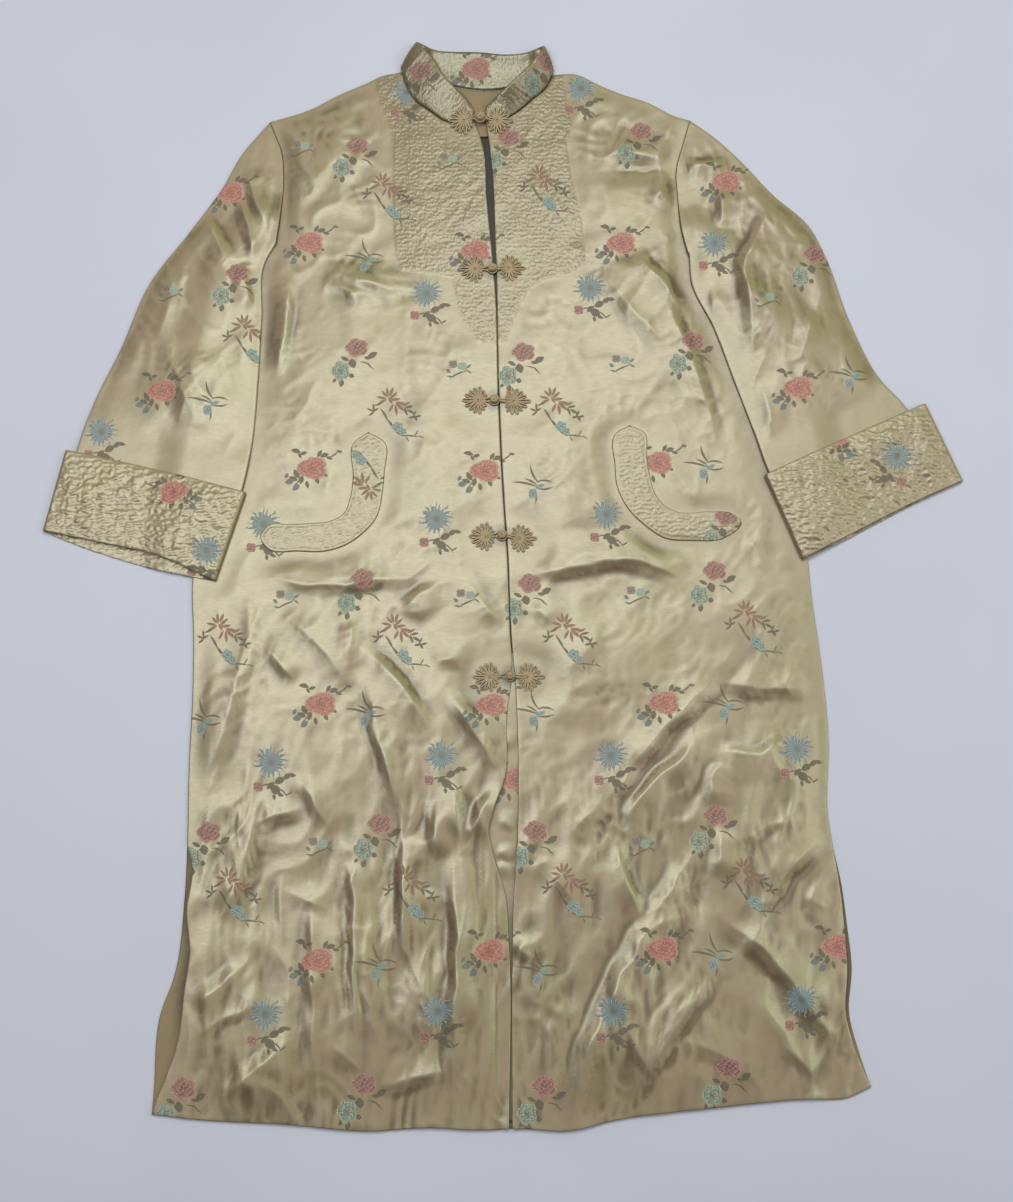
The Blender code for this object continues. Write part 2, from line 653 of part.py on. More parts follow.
def build_back(collection):
    outline = back_outline()
    points = spread(outline, [(lattice(outline, 70, 60), 34)])
    panel(
        "back", "satin", collection, outline,
        lambda p: np.zeros(len(p)), lambda p: np.full(len(p), WALL), points, points,
    )


def build_front(side, collection):
    """One front, with the quilted yoke raised in its upper side."""
    outline = front_outline(side)
    under = front_under(side)
    yoke = np.array(YOKE[side], float)

    def over(points):
        edge = np.vstack([yoke, yoke[:1]])
        kept = far_from_frogs(points, FROG_REACH) * inside(points, yoke)
        kept = kept * rising(nearest_on(points, edge)[0] / QUILT_FADE)
        return under(points) + stretched(points, under, WALL) + kept * quilt_height(points)

    crests, feet = fold_points(FRONT_FOLDS[side])
    fill = lattice(outline, FILL_STEP, FILL_STEP * 0.87)
    folds = [(calm_points(side), 9), (crests, 9.5), (feet, 10.5), (fill, 22)]
    quilting = lattice(yoke, QUILT_STEP, QUILT_ROW, QUILT_WAVE)
    quilting = quilting[inside(quilting, yoke)]
    plain = [(points[~inside(points, yoke)], spacing) for points, spacing in folds]
    low = spread(outline, folds)
    high = spread(outline, [(quilting, QUILT_SPACING), *plain])
    panel("front_" + side, "satin", collection, outline, under, over, low, high)


def build_underlap(collection):
    middle = smooth_line(UNDERLAP, 2.5 * EDGE_STEP)
    run = np.gradient(middle, axis=0)
    normal = np.column_stack([-run[:, 1], run[:, 0]]) / np.linalg.norm(run, axis=1)[:, None]
    outline = np.vstack([middle + normal * UNDERLAP_HALF, (middle - normal * UNDERLAP_HALF)[::-1]])
    panel(
        "underlap", "satin", collection, outline,
        lambda p: np.full(len(p), FRONT_Z), lambda p: np.full(len(p), FRONT_Z + WALL), outline, outline,
    )


def resting_height(side):
    """The surface that a sleeve lies on: the table, then up over the side of the front."""
    edge = chained(smooth_line(UNDER_SLEEVE[side], 10), smooth_line(SIDE_SEAM[side], 10))
    inner = 1 if side == "left" else -1

    def height(points):
        distance, at_side, _ = nearest_on(points, edge)
        over = np.where(at_side == inner, 1, 1 - rising((distance - SETTLE) / CLIMB))
        return OVER_BODY_Z * over

    return height


def build_sleeve(side, collection):
    """A flattened tube from the armhole to inside the cuff."""
    rest = resting_height(side)
    cuff_edge = smooth_line(CUFF_TOP[side], 10)
    into_cuff = -1 if side == "left" else 1
    folds, swells = SLEEVE_FOLDS[side], SLEEVE_SWELLS[side]
    clear = -0.5 if side == "left" else 0.5
    root = smooth_line(np.array(ARMHOLE[side][::-1], float) + [clear, 0], EDGE_STEP)
    outer = smooth_line([root[-1], *SLEEVE_OUTER[side][1:]], EDGE_STEP)
    inner = smooth_line([*SLEEVE_INNER[side][:0:-1], root[0]], EDGE_STEP)
    end = smooth_line([outer[-1], inner[0]], 1.2 * EDGE_STEP)
    lines = [root, outer, end, inner]
    outline = joined(*lines)
    folded = chained(outer, end, inner)

    def cuff_share(points):
        distance, at_side, _ = nearest_on(points, cuff_edge)
        return np.where(at_side == into_cuff, 1, 1 - rising((distance - SETTLE) / CLIMB))

    def lower(points):
        return rest(points) + (WALL + CUFF_EASE) * cuff_share(points)

    def loft(points):
        free = rising((nearest_on(points, folded)[0] - 1) / 20) * rising(nearest_on(points, root)[0] / 18)
        return fold_height(points, folds, swells) * free * (1 - cuff_share(points))

    def upper(points):
        return lower(points) + SLEEVE_HEIGHT + loft(points)

    heights = (
        upper,
        lower,
        lambda p: upper(p) - stretched(p, upper, WALL),
        lambda p: lower(p) + WALL,
    )
    crests, feet = fold_points(folds)
    fill = lattice(outline, 21, 18)
    creased = [(crests, 8), (feet, 9), (fill, 14)]
    plain = [(fill, 14)]
    layers = (creased, plain, creased, plain)
    tube("sleeve_" + side, "satin", collection, [lines] * 4, heights, layers, WALL)


def build_cuff(side, collection):
    """A flattened ring round the sleeve's end, quilted on its upper side."""
    rest = resting_height(side)
    ceiling = WALL + SLEEVE_HEIGHT + 2 * CUFF_EASE
    top = smooth_line(CUFF_TOP[side], 12)
    ends = [smooth_line(rows[side], 12) for rows in (CUFF_END, CUFF_END_BELOW)]
    count = min(len(line) for line in ends)
    ends = [resampled(line, count) for line in ends]
    inner = smooth_line([CUFF_TOP[side][-1], CUFF_END[side][-1]], 12)
    outer = smooth_line([CUFF_END[side][0], CUFF_TOP[side][0]], 12)
    upper_lines, lower_lines = [[top, inner, end[::-1], outer] for end in ends]
    outline = joined(*upper_lines)
    closed = np.vstack([outline, outline[:1]])

    def upper(points):
        quilt = quilt_height(points) * rising(nearest_on(points, closed)[0] / QUILT_FADE)
        return rest(points) + ceiling + QUILTED_WALL + quilt

    heights = (
        upper,
        rest,
        lambda p: rest(p) + ceiling,
        lambda p: rest(p) + WALL,
    )
    quilting = lattice(outline, QUILT_STEP, QUILT_ROW, QUILT_WAVE)
    fill = lattice(outline, 20, 18)
    layers = ([(quilting, QUILT_SPACING)], [(fill, 14)], [(fill, 14)], [(fill, 14)])
    lines = (upper_lines, lower_lines, upper_lines, lower_lines)
    tube("cuff_" + side, "quilted satin", collection, lines, heights, layers, WALL)


def resampled(line, count):
    """The same line with this many points, evenly spaced."""
    length = np.concatenate([[0], np.cumsum(np.linalg.norm(np.diff(line, axis=0), axis=1))])
    places = np.linspace(0, length[-1], count)
    return np.column_stack([np.interp(places, length, column) for column in line.T])


def build_collar(collection):
    """A quilted ribbon swept round the neck, from its seam to its top edge."""
    rows = smooth_line([row[1:] for row in COLLAR], 10.5)
    seam, top = rows[:, :3], rows[:, 3:]
    across = 5
    shares = np.linspace(0, 1, across + 1)
    middle = np.array([[b + (t - b) * s for s in shares] for b, t in zip(seam, top)])
    along, up = np.gradient(middle, axis=(0, 1))
    normal = np.cross(up, along)
    normal = normal / np.linalg.norm(normal, axis=-1)[..., None]
    bulge = COLLAR_BULGE * np.linalg.norm(top - seam, axis=1) / np.linalg.norm(top - seam, axis=1).max()
    middle = middle + normal * (bulge[:, None] * np.sin(math.pi * shares))[..., None]
    parity = np.indices(middle.shape[:2]).sum(axis=0) % 2
    parity[:, [0, -1]] = 0
    parity[[0, -1]] = 0
    outer = middle + normal * (COLLAR_WALL / 2 + 0.5 * QUILT_RISE * parity[..., None])
    outer[..., 2] = np.maximum(outer[..., 2], 0.1)
    inner = middle - normal * COLLAR_WALL / 2
    mesh = bmesh.new()
    faces = [
        [[mesh.verts.new(Vector(point) * MM) for point in row] for row in grid] for grid in (outer, inner)
    ]
    for grid in faces:
        for first, second in zip(grid, grid[1:]):
            add_strip(mesh, first, second)
    rims = [
        [row[0] for row in grid] + grid[-1][1:] + [row[-1] for row in grid[-2::-1]] + grid[0][-2:0:-1]
        for grid in faces
    ]
    add_strip(mesh, rims[0], rims[1], closed=True)
    return finish(mesh, "collar", "quilted satin", collection)


def build_pocket_band(side, collection):
    """A quilted band sewn on the front, made from the front's surface moved out."""
    rows = POCKET_BAND[side]
    outline = smooth_line(rows + rows[:1], 9)[:-1]
    closed = np.vstack([outline, outline[:1]])
    base = front_under(side)

    def under(points):
        return base(points) + WALL + GAP

    def over(points):
        quilt = quilt_height(points) * rising(nearest_on(points, closed)[0] / QUILT_FADE)
        return under(points) + QUILTED_WALL + quilt

    high = spread(outline, [(lattice(outline, QUILT_STEP, QUILT_ROW, QUILT_WAVE), QUILT_SPACING)])
    low = spread(outline, [(lattice(outline, 18, 16), 9)])
    panel("pocket_band_" + side, "quilted satin", collection, outline, under, over, low, high)


def flower(name, away, collection):
    """Half a frog: a heart of cord loops, with its point on the side away from the knot."""
    mesh = bmesh.new()
    steps = 2 * FLOWER_LOOPS
    angles = [2 * math.pi * i / steps for i in range(steps)]
    # Share of the radius, height on a loop's crest and height between two loops
    rings = [(0.98, 0.0, 0.0), (1.0, 1.5, 1.0), (0.62, 2.2, 1.5), (0.2, FLOWER_HEIGHT, FLOWER_HEIGHT)]
    corners = []
    for share, crest, valley in rings:
        ring = []
        for i, angle in enumerate(angles):
            away_from_point = math.degrees(min(angle, 2 * math.pi - angle))
            length = float(np.interp(away_from_point, *zip(*FLOWER_REACH)))
            length *= share * (0.84 if i % 2 and share > 0.9 else 1)
            height = valley if i % 2 else crest
            point = Vector((away * length * math.cos(angle), length * math.sin(angle), height))
            ring.append(mesh.verts.new(point * MM))
        corners.append(ring)
    for low, high in zip(corners, corners[1:]):
        add_strip(mesh, low, high, closed=True)
    mesh.faces.new(corners[0])
    mesh.faces.new(corners[-1])
    return finish(mesh, name, "silk cord", collection)


def knot(name, collection):
    """A ball knot with its stem, turned about X."""
    profile = [(-KNOT_RADIUS, 0)]
    for angle in np.radians([36, 72, 108, 144]):
        profile.append((-KNOT_RADIUS * math.cos(angle), KNOT_RADIUS * math.sin(angle)))
    profile += [(KNOT_RADIUS + 0.3, 1.1), (7.4, 1.1), (7.4, 0)]
    mesh = bmesh.new()
    corners = [mesh.verts.new((x * MM, 0, r * MM)) for x, r in profile]
    edges = [mesh.edges.new(pair) for pair in zip(corners, corners[1:])]
    bmesh.ops.spin(
        mesh, geom=corners + edges, cent=(0, 0, 0), axis=(1, 0, 0), dvec=(0, 0, 0), angle=2 * math.pi,
        steps=8,
    )
    bmesh.ops.remove_doubles(mesh, verts=mesh.verts, dist=1e-6)
    return finish(mesh, name, "knotted cord", collection)


def button_loop(name, reach, collection):
    """The cord loop from the left flower round the ball knot."""
    curve = bpy.data.curves.new(name, "CURVE")
    curve.dimensions = "3D"
    curve.bevel_depth = CORD_RADIUS * MM
    curve.bevel_resolution = 1
    curve.use_fill_caps = True
    turn = [math.radians(a) for a in range(140, -141, -40)]
    bow = [(LOOP_RADIUS * math.cos(a), LOOP_RADIUS * math.sin(a)) for a in turn]
    points = [(-reach, 1.3), *bow, (-reach, -1.3)]
    line = curve.splines.new("POLY")
    line.points.add(len(points) - 1)
    for point, (x, y) in zip(line.points, points):
        point.co = (x * MM, y * MM, CORD_RADIUS * MM, 1)
    curve.materials.append(material_of("silk cord", name))
    piece = bpy.data.objects.new(name, curve)
    collection.objects.link(piece)
    return piece


def build_frog(number, row, collection):
    """A frog's four pieces, on an empty at its knot."""
    left_x, left_y, x, y, right_x, right_y, height, tilt = row
    name = f"frog_{number}_"
    middle = bpy.data.objects.new(name + "middle", None)
    collection.objects.link(middle)
    height = height or OVER_UNDERLAP_Z + WALL + FROG_LIFT
    middle.location = Vector((x, y, height)) * MM
    middle.rotation_euler.x = math.radians(tilt)
    left = flower(name + "left", -1, collection)
    left.location = Vector((left_x - x, left_y - y, 0)) * MM
    right = flower(name + "right", 1, collection)
    right.location = Vector((right_x - x, right_y - y, 0)) * MM
    ball = knot(name + "knot", collection)
    ball.location.z = (KNOT_RADIUS + 0.4) * MM
    ball.rotation_euler.y = KNOT_TILT
    loop = button_loop(name + "loop", x - left_x - LOOP_START, collection)
    for piece in (left, right, ball, loop):
        piece.parent = middle


def main():
    for old in list(bpy.data.objects):
        bpy.data.objects.remove(old, do_unlink=True)
    collection = bpy.data.collections.new("brocade_robe")
    bpy.context.scene.collection.children.link(collection)
    build_back(collection)
    build_underlap(collection)
    build_collar(collection)
    for side in ("left", "right"):
        build_front(side, collection)
        build_sleeve(side, collection)
        build_cuff(side, collection)
        build_pocket_band(side, collection)
    for number, row in enumerate(FROGS, 1):
        build_frog(number, row, collection)


if __name__ == "__main__":
    main()
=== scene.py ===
"""Dresses a silk brocade robe, laid flat, in its cloth: satin with woven sprays, quilting and frogs.

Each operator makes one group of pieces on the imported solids, in the same frame. The tables hold
millimetres and the meshes metres: X across the robe, Y from the hem to the neck, Z up from the surface.
Left and right are as seen from above.
"""

import math

import bmesh
import bpy
import numpy as np
from bpy.props import FloatProperty, FloatVectorProperty, IntProperty, PointerProperty
from mathutils import Matrix, Vector
from mathutils.geometry import delaunay_2d_cdt


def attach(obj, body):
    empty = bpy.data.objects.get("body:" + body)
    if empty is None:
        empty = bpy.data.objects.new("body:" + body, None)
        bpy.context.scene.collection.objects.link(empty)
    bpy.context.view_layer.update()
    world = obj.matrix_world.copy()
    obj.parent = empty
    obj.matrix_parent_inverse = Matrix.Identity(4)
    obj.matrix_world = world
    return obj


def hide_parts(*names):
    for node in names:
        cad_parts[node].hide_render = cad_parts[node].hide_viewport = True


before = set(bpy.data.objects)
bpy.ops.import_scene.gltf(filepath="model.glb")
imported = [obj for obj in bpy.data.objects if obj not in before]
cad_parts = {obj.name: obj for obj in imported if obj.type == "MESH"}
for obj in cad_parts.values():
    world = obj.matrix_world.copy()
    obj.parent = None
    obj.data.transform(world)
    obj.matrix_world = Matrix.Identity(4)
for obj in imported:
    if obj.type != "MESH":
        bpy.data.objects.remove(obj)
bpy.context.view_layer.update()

bl_info = {
    "name": "Brocade robe",
    "version": (1, 0, 0),
    "blender": (4, 5, 0),
    "location": "3D View > Sidebar > Robe",
    "description": "Makes the cloth, quilting and cord frogs of a silk brocade robe that is laid flat",
    "category": "Add Mesh",
}

MM = 0.001

# Cloth and layers, as in the solids, in millimetres
WALL = 1.2
GAP = 0.3  # air between two layers
FRONT_Z = WALL + GAP  # underside of the fronts, on the back
OVER_UNDERLAP_Z = FRONT_Z + WALL + GAP  # underside of the fronts, on the underlap
OVER_BODY_Z = FRONT_Z + WALL + GAP  # underside of a sleeve, on a front
SLEEVE_HEIGHT = 2 * WALL + 0.4  # two walls with a little air between
CUFF_EASE = 0.6  # air between a sleeve and its cuff
QUILTED_WALL = 1.6
SETTLE = 24.0  # a layer is at full height this far before the edge that it climbs over
CLIMB = 34.0  # and rises over this length
FROG_Z = OVER_UNDERLAP_Z + WALL + GAP + 0.05
# Folds of the fronts. They lie flat under what lies on a front, and rise beside it.
FROG_CALM = 19.0  # they start to rise this far from a frog's flower
SEAM_CALM = 22.0  # they rise over this length from a seam, sleeve or cuff
BAND_CALM = 20.0  # and over this length from a pocket band
PRESSED = 3.0  # what lies on a front presses on it this far round itself
CREASE_SPREAD = 1.65  # a crease is drawn this many times as wide as in the solids
CREASE_SHARE = 0.7  # this many times as high
CREASE_LEAN = 1.3  # and leaning this many times as much
CREST_BAND = 7.0  # the points lie closer together this far from a crest
# Edges and other sizes
UNDERLAP_HALF = 28.0  # half the width of the underlap
UNDERLAP_SETTLE = 38.0  # a front stays raised this far past the underlap's edge
UNDERLAP_SHOWN = (-160, -350)  # between these Y its creases show
UNDERLAP_PLAIN = -100  # and above this Y it has no sprays
EDGE_FALL = 0.45  # the face of a front lies this much lower at its edge
EDGE_ROUND = 1.3  # and is rounded over this length
SLEEVE_CLEAR = 0.35  # a sleeve starts this far from the front
SLEEVE_ROUND, CUFF_ROUND = 1.6, 3.2  # the folded sides of sleeves and cuffs are rounded over this length
SLEEVE_STEP, CUFF_STEP = 3.2, 2.4  # distance between the points of their outlines
BAND_ROUND = 1.4  # the edge of a pocket band is rounded over this length
BAND_EDGE = 0.65  # where it is this thick
SIDES = ("left", "right")
INWARD = {"left": 1, "right": -1}  # the way to the robe's middle along X, and the inner side of a line

# Hem, from the corner at the side slit to the opening: x, y
HEM = {
    "left": [(-333, -539), (-287, -544), (-207, -548), (-128, -554), (-69, -551), (-24, -553), (5, -552)],
    "right": [
        (348, -514), (324, -524), (287, -525), (199, -533), (106, -544), (58, -554), (21, -552), (8, -552),
    ],
}
# Edges of the opening, from the hem to the neckline: x, y
OPENING = {
    "left": [
        (5, -552), (5, -383), (1, -334), (-11, -294), (-15, -274), (-12, -259), (1, -221), (3, -160),
        (8, -118), (5.9, -77), (3.1, 0), (-0.9, 58), (-5.9, 163), (-9.3, 280), (-13, 325), (-18.2, 380),
        (-22, 436), (-31, 468),
    ],
    "right": [
        (8, -552), (8, -368), (14, -244), (12, -145), (7, -77), (4, 0), (0, 58), (-5, 163), (-9, 325),
        (-15, 436), (-20, 468),
    ],
}
# Shoulders, from beside the neck to the top of the armhole: x, y
SHOULDER = {
    "left": [(-124, 520), (-148, 509), (-174, 497), (-205, 480), (-247, 466)],
    "right": [(72, 521), (101, 508), (121, 499), (152, 488), (182, 472), (196, 468)],
}
# Armholes, then the stretch that the sleeve hides, down to the armpit: x, y
ARMHOLE = {
    "left": [(-247, 466), (-241, 451), (-234, 433), (-231, 407), (-233, 364), (-237, 329)],
    "right": [(196, 468), (189, 444), (180, 407), (181, 386), (185, 343), (191, 318)],
}
UNDER_SLEEVE = {
    "left": [(-237, 329), (-249, 317), (-259, 299), (-270, 262), (-277, 229)],
    "right": [(191, 318), (214, 272), (272, 226)],
}
# Side seams, from the armpit to the top of the slit: x, y
SIDE_SEAM = {
    "left": [
        (-277, 229), (-292, 130), (-305, 40), (-312, -30), (-309, -85), (-308, -145), (-309, -205),
        (-308, -287),
    ],
    "right": [
        (272, 226), (288, 120), (302, 30), (308, -50), (313, -94), (319, -184), (316, -260), (320, -290),
    ],
}
# Edges of the side slits, from their top to the hem: x, y
FRONT_SLIT = {
    "left": [
        (-308, -287), (-303, -303), (-306, -352), (-302, -392), (-306, -428), (-309, -465), (-333, -539),
    ],
    "right": [(320, -290), (324, -319), (328, -364), (329, -403), (326, -447), (335, -482), (348, -514)],
}
BACK_SLIT = {
    "left": [(-308, -287), (-309, -337), (-317, -414), (-328, -446), (-332, -518), (-333, -539)],
    "right": [(320, -290), (326, -319), (331, -364), (334, -403), (330, -447), (338, -482), (348, -514)],
}
# Sleeves: the folded edges from the armhole to the turned-back cuff, then 22 mm inside it: x, y
SLEEVE_OUTER = {
    "left": [
        (-249, 467), (-276, 429), (-295, 392), (-328, 343), (-366, 289), (-395, 214), (-417, 164),
        (-434, 109),
        (-439, 88),
    ],
    "right": [
        (198, 468), (220, 450), (246, 425), (280, 386), (319, 348), (334, 316), (356, 247), (385, 184),
        (412, 150), (420, 130),
    ],
}
SLEEVE_INNER = {
    "left": [(-238, 329), (-247, 310), (-249, 250), (-251, 184), (-257, 103), (-264, 67), (-270, 46)],
    "right": [(192, 318), (193, 289), (215, 239), (234, 184), (253, 129), (268, 84), (277, 64)],
}
# Cuffs: the turned-back top edge and the end, from the outer side to the inner one: x, y
CUFF_TOP = {"left": [(-445, 109), (-352, 88), (-260, 64)], "right": [(430, 158), (347, 121), (263, 82)]}
CUFF_END = {
    "left": [(-464, 25), (-393, 10), (-356, 2), (-288, -27)],
    "right": [(464, 77), (409, 52), (354, 24), (298, -5)],
}
CUFF_END_BELOW = {
    "left": [(-464, 25), (-445, 17), (-354, -13), (-288, -27)],
    "right": [(464, 77), (408, 50), (353, 21), (298, -5)],
}
# Pocket bands: quilted J shapes round the pocket mouths: x, y
POCKET_BAND = {
    "left": [
        (-138, 128), (-121, 117), (-121, 85), (-123, 62), (-127, 42), (-146, 19), (-162, 9), (-180, 4),
        (-207, 4), (-236, 6), (-245, 18), (-235, 32), (-219, 32), (-195, 33), (-173, 36), (-161, 44),
        (-156, 57), (-153, 80), (-153, 116),
    ],
    "right": [
        (128, 135), (113, 126), (112, 93), (114, 72), (128, 44), (139, 33), (163, 17), (188, 15), (222, 18),
        (239, 34), (230, 43), (210, 45), (174, 45), (162, 51), (153, 63), (148, 80), (145, 100), (143, 127),
    ],
}
# Quilted yokes: the edge of the quilting, from the shoulder to the opening: x, y
YOKE = {
    "left": [
        (-138, 560), (-136, 500), (-118, 448), (-117, 357), (-113, 314), (-107, 300), (-75, 295),
        (-55, 291), (-51, 272), (-43, 246), (-27, 221), (20, 221), (20, 560),
    ],
    "right": [
        (59, 560), (66, 500), (73, 462), (67, 436), (74, 391), (83, 352), (85, 312), (74, 298), (42, 289),
        (28, 279), (16, 259), (4, 221), (-50, 221), (-50, 560),
    ],
}
# Middle line of the underlap, the strip that closes the opening from behind: x, y
UNDERLAP = [(-18, 450), (-8, 163), (4, -85), (6, -245), (6, -546)]

# Collar, from its left front end round the neck: stretch, seam x, y, z, top edge x, y, z
COLLAR_WALL = 2.0
COLLAR_BULGE = 1.5
BACK_NECK_CLEAR = 1.0
FRONT_NECK_CLEAR = 1.2
NECK_MIDDLE = (-28, 505)
COLLAR = [
    ("left", -34, 471, 3.2, -32, 479, 4.0),
    ("left", -47, 467, 3.2, -36, 486, 5.0),
    ("left", -61, 467, 3.2, -41, 492, 8),
    ("left", -76, 477, 3.2, -52, 501, 13),
    ("left", -93, 490, 3.4, -64, 514, 15),
    ("left", -103, 507, 4.2, -74, 532, 15),
    ("left", -107, 521, 6.0, -89, 549, 13),
    ("turn", -109.5, 525, 4.2, -92, 554, 9),
    ("back", -107, 525, 1.8, -89, 554, 6),
    ("back", -84, 517, 1.5, -74, 546, 7),
    ("back", -54, 508, 1.5, -54, 543, 8),
    ("back", -24, 503, 1.5, -26, 542, 9),
    ("back", 1, 505, 1.5, 1, 540, 8),
    ("back", 27, 512, 1.5, 24, 543, 7),
    ("back", 49, 521, 1.8, 39, 550, 6),
    ("turn", 52, 521, 4.2, 42, 549, 10),
    ("right", 50, 517, 6.0, 41, 544, 15),
    ("right", 44, 505, 4.2, 28, 525, 18),
    ("right", 28, 490, 3.4, 6, 502, 18),
    ("right", 14, 478, 3.2, -6, 493, 12),
    ("right", 0, 470, 3.2, -14, 487, 6.5),
    ("right", -10, 468, 3.2, -19, 483, 5.0),
    ("right", -18, 471, 3.2, -20, 479, 4.0),
]

# Frogs, from the neck down: left flower x, y, knot x, y, right flower x, y, height and tilt in degrees
FROGS = [
    (-42, 466, -25, 469, -8, 466, 6.9, 7),
    (-30, 302, -12, 302, 4.5, 303, FROG_Z, 0),
    (-26, 161, -10, 161, 9.5, 160, FROG_Z, 0),
    (-18.5, 19, -2, 20, 15.5, 17, FROG_Z, 0),
    (-14, -123, 6, -122, 23, -123, FROG_Z, 0),
]
KNOT_Z = 5.1  # middle of a ball knot, over the frog's own base
KNOT_RISE = 0.28  # how far its strands rise and dip where they cross
STEM_END = 2.3  # height of its stem at the flower
# How far a flower's loops reach: degrees from the side away from the knot, and the length
FLOWER_REACH = [
    (0, 17.8), (20, 15.6), (45, 14.2), (70, 14.6), (95, 14.8), (120, 12.8), (145, 10.4), (180, 8.4),
]

# Folds of the cloth: points of the crest, half width, height, lean. A height below 0 is a trough, and a
# fold that leans is steep on its right (+) or left (-) side, seen along its points.
FRONT_FOLDS = {
    "left": [
        ([(-262, -22), (-221, -26), (-172, -31), (-138, -26), (-66, -21)], 15, 5, 0.4),
        ([(-62, -24), (-109, -63)], 11, 4, 0.3),
        ([(-44, -16), (-2, -74)], 11, 4, -0.3),
        ([(-75, -106), (-22, -104)], 11, 3.5, 0.3),
        ([(-153, -55), (-152, -118)], 12, 4, 0.3),
        ([(-150, -88), (-112, -122), (-66, -184)], 16, 8, -0.5),
        ([(-226, -52), (-182, -92), (-150, -136)], 19, 6, 0.3),
        ([(-242, -84), (-201, -132)], 14, 4.5, 0.3),
        ([(-252, -51), (-262, -119), (-280, -189), (-298, -240)], 17, 5.5, -0.3),
        ([(-137, -119), (-118, -194), (-96, -282)], 15, 6, 0.4),
        ([(-58, -130), (-4, -219)], 14, 6.5, 0.4),
        ([(-205, -214), (-165, -278)], 13, 4.5, 0.3),
        ([(-250, -268), (-192, -250)], 12, 4, 0.3),
        ([(-66, -240), (-68, -305)], 12, 5, 0.4),
        ([(-52, -218), (-40, -298)], 11, 5, -0.3),
        ([(-8, -226), (-37, -288)], 12, 6, 0.4),
        ([(-163, -270), (-147, -321), (-143, -400), (-142, -500)], 13, 7, 0.5),
        ([(-187, -300), (-184, -400), (-178, -522)], 15, 5, 0.4),
        ([(-99, -260), (-97, -330), (-97, -412)], 13, 8, 0.5),
        ([(-49, -272), (-45, -400), (-48, -535)], 15, 8, 0.4),
        ([(-70, -390), (-86, -490)], 13, 5, -0.3),
        ([(-124, -514), (-48, -496)], 12, 4, 0.3),
        ([(-195, -462), (-272, -532)], 16, 6, 0.4),
        ([(-248, -400), (-298, -444)], 13, 5, 0.3),
        ([(-247, -244), (-252, -314), (-276, -366)], 17, 6, -0.3),
        ([(-220, 300), (-226, 239), (-236, 180)], 12, 5, -0.4),
        ([(-190, 284), (-160, 281), (-148, 252)], 11, 4.5, 0.4),
        ([(-176, 299), (-141, 288), (-100, 275)], 11, 4, 0.4),
    ],
    "right": [
        ([(14, -20), (74, -12), (105, -6), (161, -16), (192, -36)], 15, 7, 0.5),
        ([(25, -48), (52, -72)], 10, 3, 0.3),
        ([(242, -70), (195, -139), (150, -181), (128, -210), (90, -255), (46, -273)], 18, 7, -0.4),
        ([(193, -164), (186, -190), (145, -228), (105, -279)], 14, 6, 0.4),
        ([(204, -126), (260, -134), (312, -130)], 15, 4.5, 0.4),
        ([(208, -192), (251, -199), (282, -180)], 12, 4.5, -0.4),
        ([(217, -205), (204, -223), (202, -252)], 11, 4.5, 0.4),
        ([(213, -266), (208, -323)], 12, 4.5, 0.3),
        ([(318, -276), (282, -302), (255, -340), (242, -364)], 17, 7.5, -0.4),
        ([(107, -277), (113, -305), (135, -368)], 14, 5.5, -0.4),
        ([(178, -300), (136, -370)], 13, 5, 0.3),
        ([(200, -350), (142, -367), (117, -406), (87, -467), (60, -552)], 20, 10, 0.4),
        ([(196, -352), (229, -369), (266, -403), (298, -447), (332, -484)], 20, 9, 0.4),
        ([(211, -392), (177, -438), (147, -479), (108, -542)], 16, 7, -0.4),
        ([(8, -378), (30, -397)], 10, 4, 0.3),
        ([(94, 409), (149, 411), (180, 409)], 13, -4, 0),
        ([(98, 424), (140, 430), (176, 420)], 12, 4, 0.3),
        ([(153, 400), (180, 366)], 12, 4.5, 0.3),
        ([(128, 326), (145, 306), (192, 250)], 15, 6, -0.4),
        ([(98, 304), (138, 250), (174, 208)], 15, 5.5, 0.4),
    ],
}
# Broad air under the cloth: x, y, half width, half length, height
FRONT_SWELLS = {
    "left": [
        (-180, 400, 60, 70, 2.5), (-190, 190, 50, 80, 3), (-80, 100, 50, 90, 2), (-200, -150, 80, 90, 4),
        (-80, -180, 50, 80, 3), (-120, -430, 90, 90, 4), (-230, -480, 70, 60, 4),
    ],
    "right": [
        (120, 380, 60, 70, 3), (150, 230, 60, 70, 3), (70, 90, 50, 90, 2), (110, -110, 80, 70, 4),
        (250, -240, 60, 70, 4), (70, -340, 60, 90, 3), (190, -480, 110, 60, 5), (230, -60, 60, 40, 3),
    ],
}
SLEEVE_FOLDS = {
    "left": [
        ([(-320, 366), (-300, 336), (-278, 300)], 13, 5, -0.4),
        ([(-277, 385), (-266, 350), (-256, 300)], 10, 4.5, 0.4),
        ([(-272, 415), (-258, 378), (-243, 340)], 9, 4, 0.4),
        ([(-272, 308), (-256, 248)], 11, 4.5, -0.3),
        ([(-350, 250), (-330, 180), (-300, 110)], 18, 3, 0.3),
    ],
    "right": [
        ([(186, 418), (213, 416), (236, 424)], 10, 5, -0.4),
        ([(282, 386), (266, 343), (248, 308), (254, 259), (257, 190)], 16, 8, 0.5),
        ([(228, 396), (227, 343)], 11, 4.5, 0.4),
        ([(322, 262), (303, 198)], 16, 5, 0.3),
        ([(212, 284), (214, 259), (216, 226)], 9, 4.5, 0.4),
        ([(262, 186), (278, 96)], 11, 4, 0.4),
    ],
}
SLEEVE_SWELLS = {
    "left": [(-320, 250, 45, 90, 5), (-340, 150, 60, 50, 3)],
    "right": [(280, 300, 45, 80, 5), (330, 190, 55, 60, 4)],
}
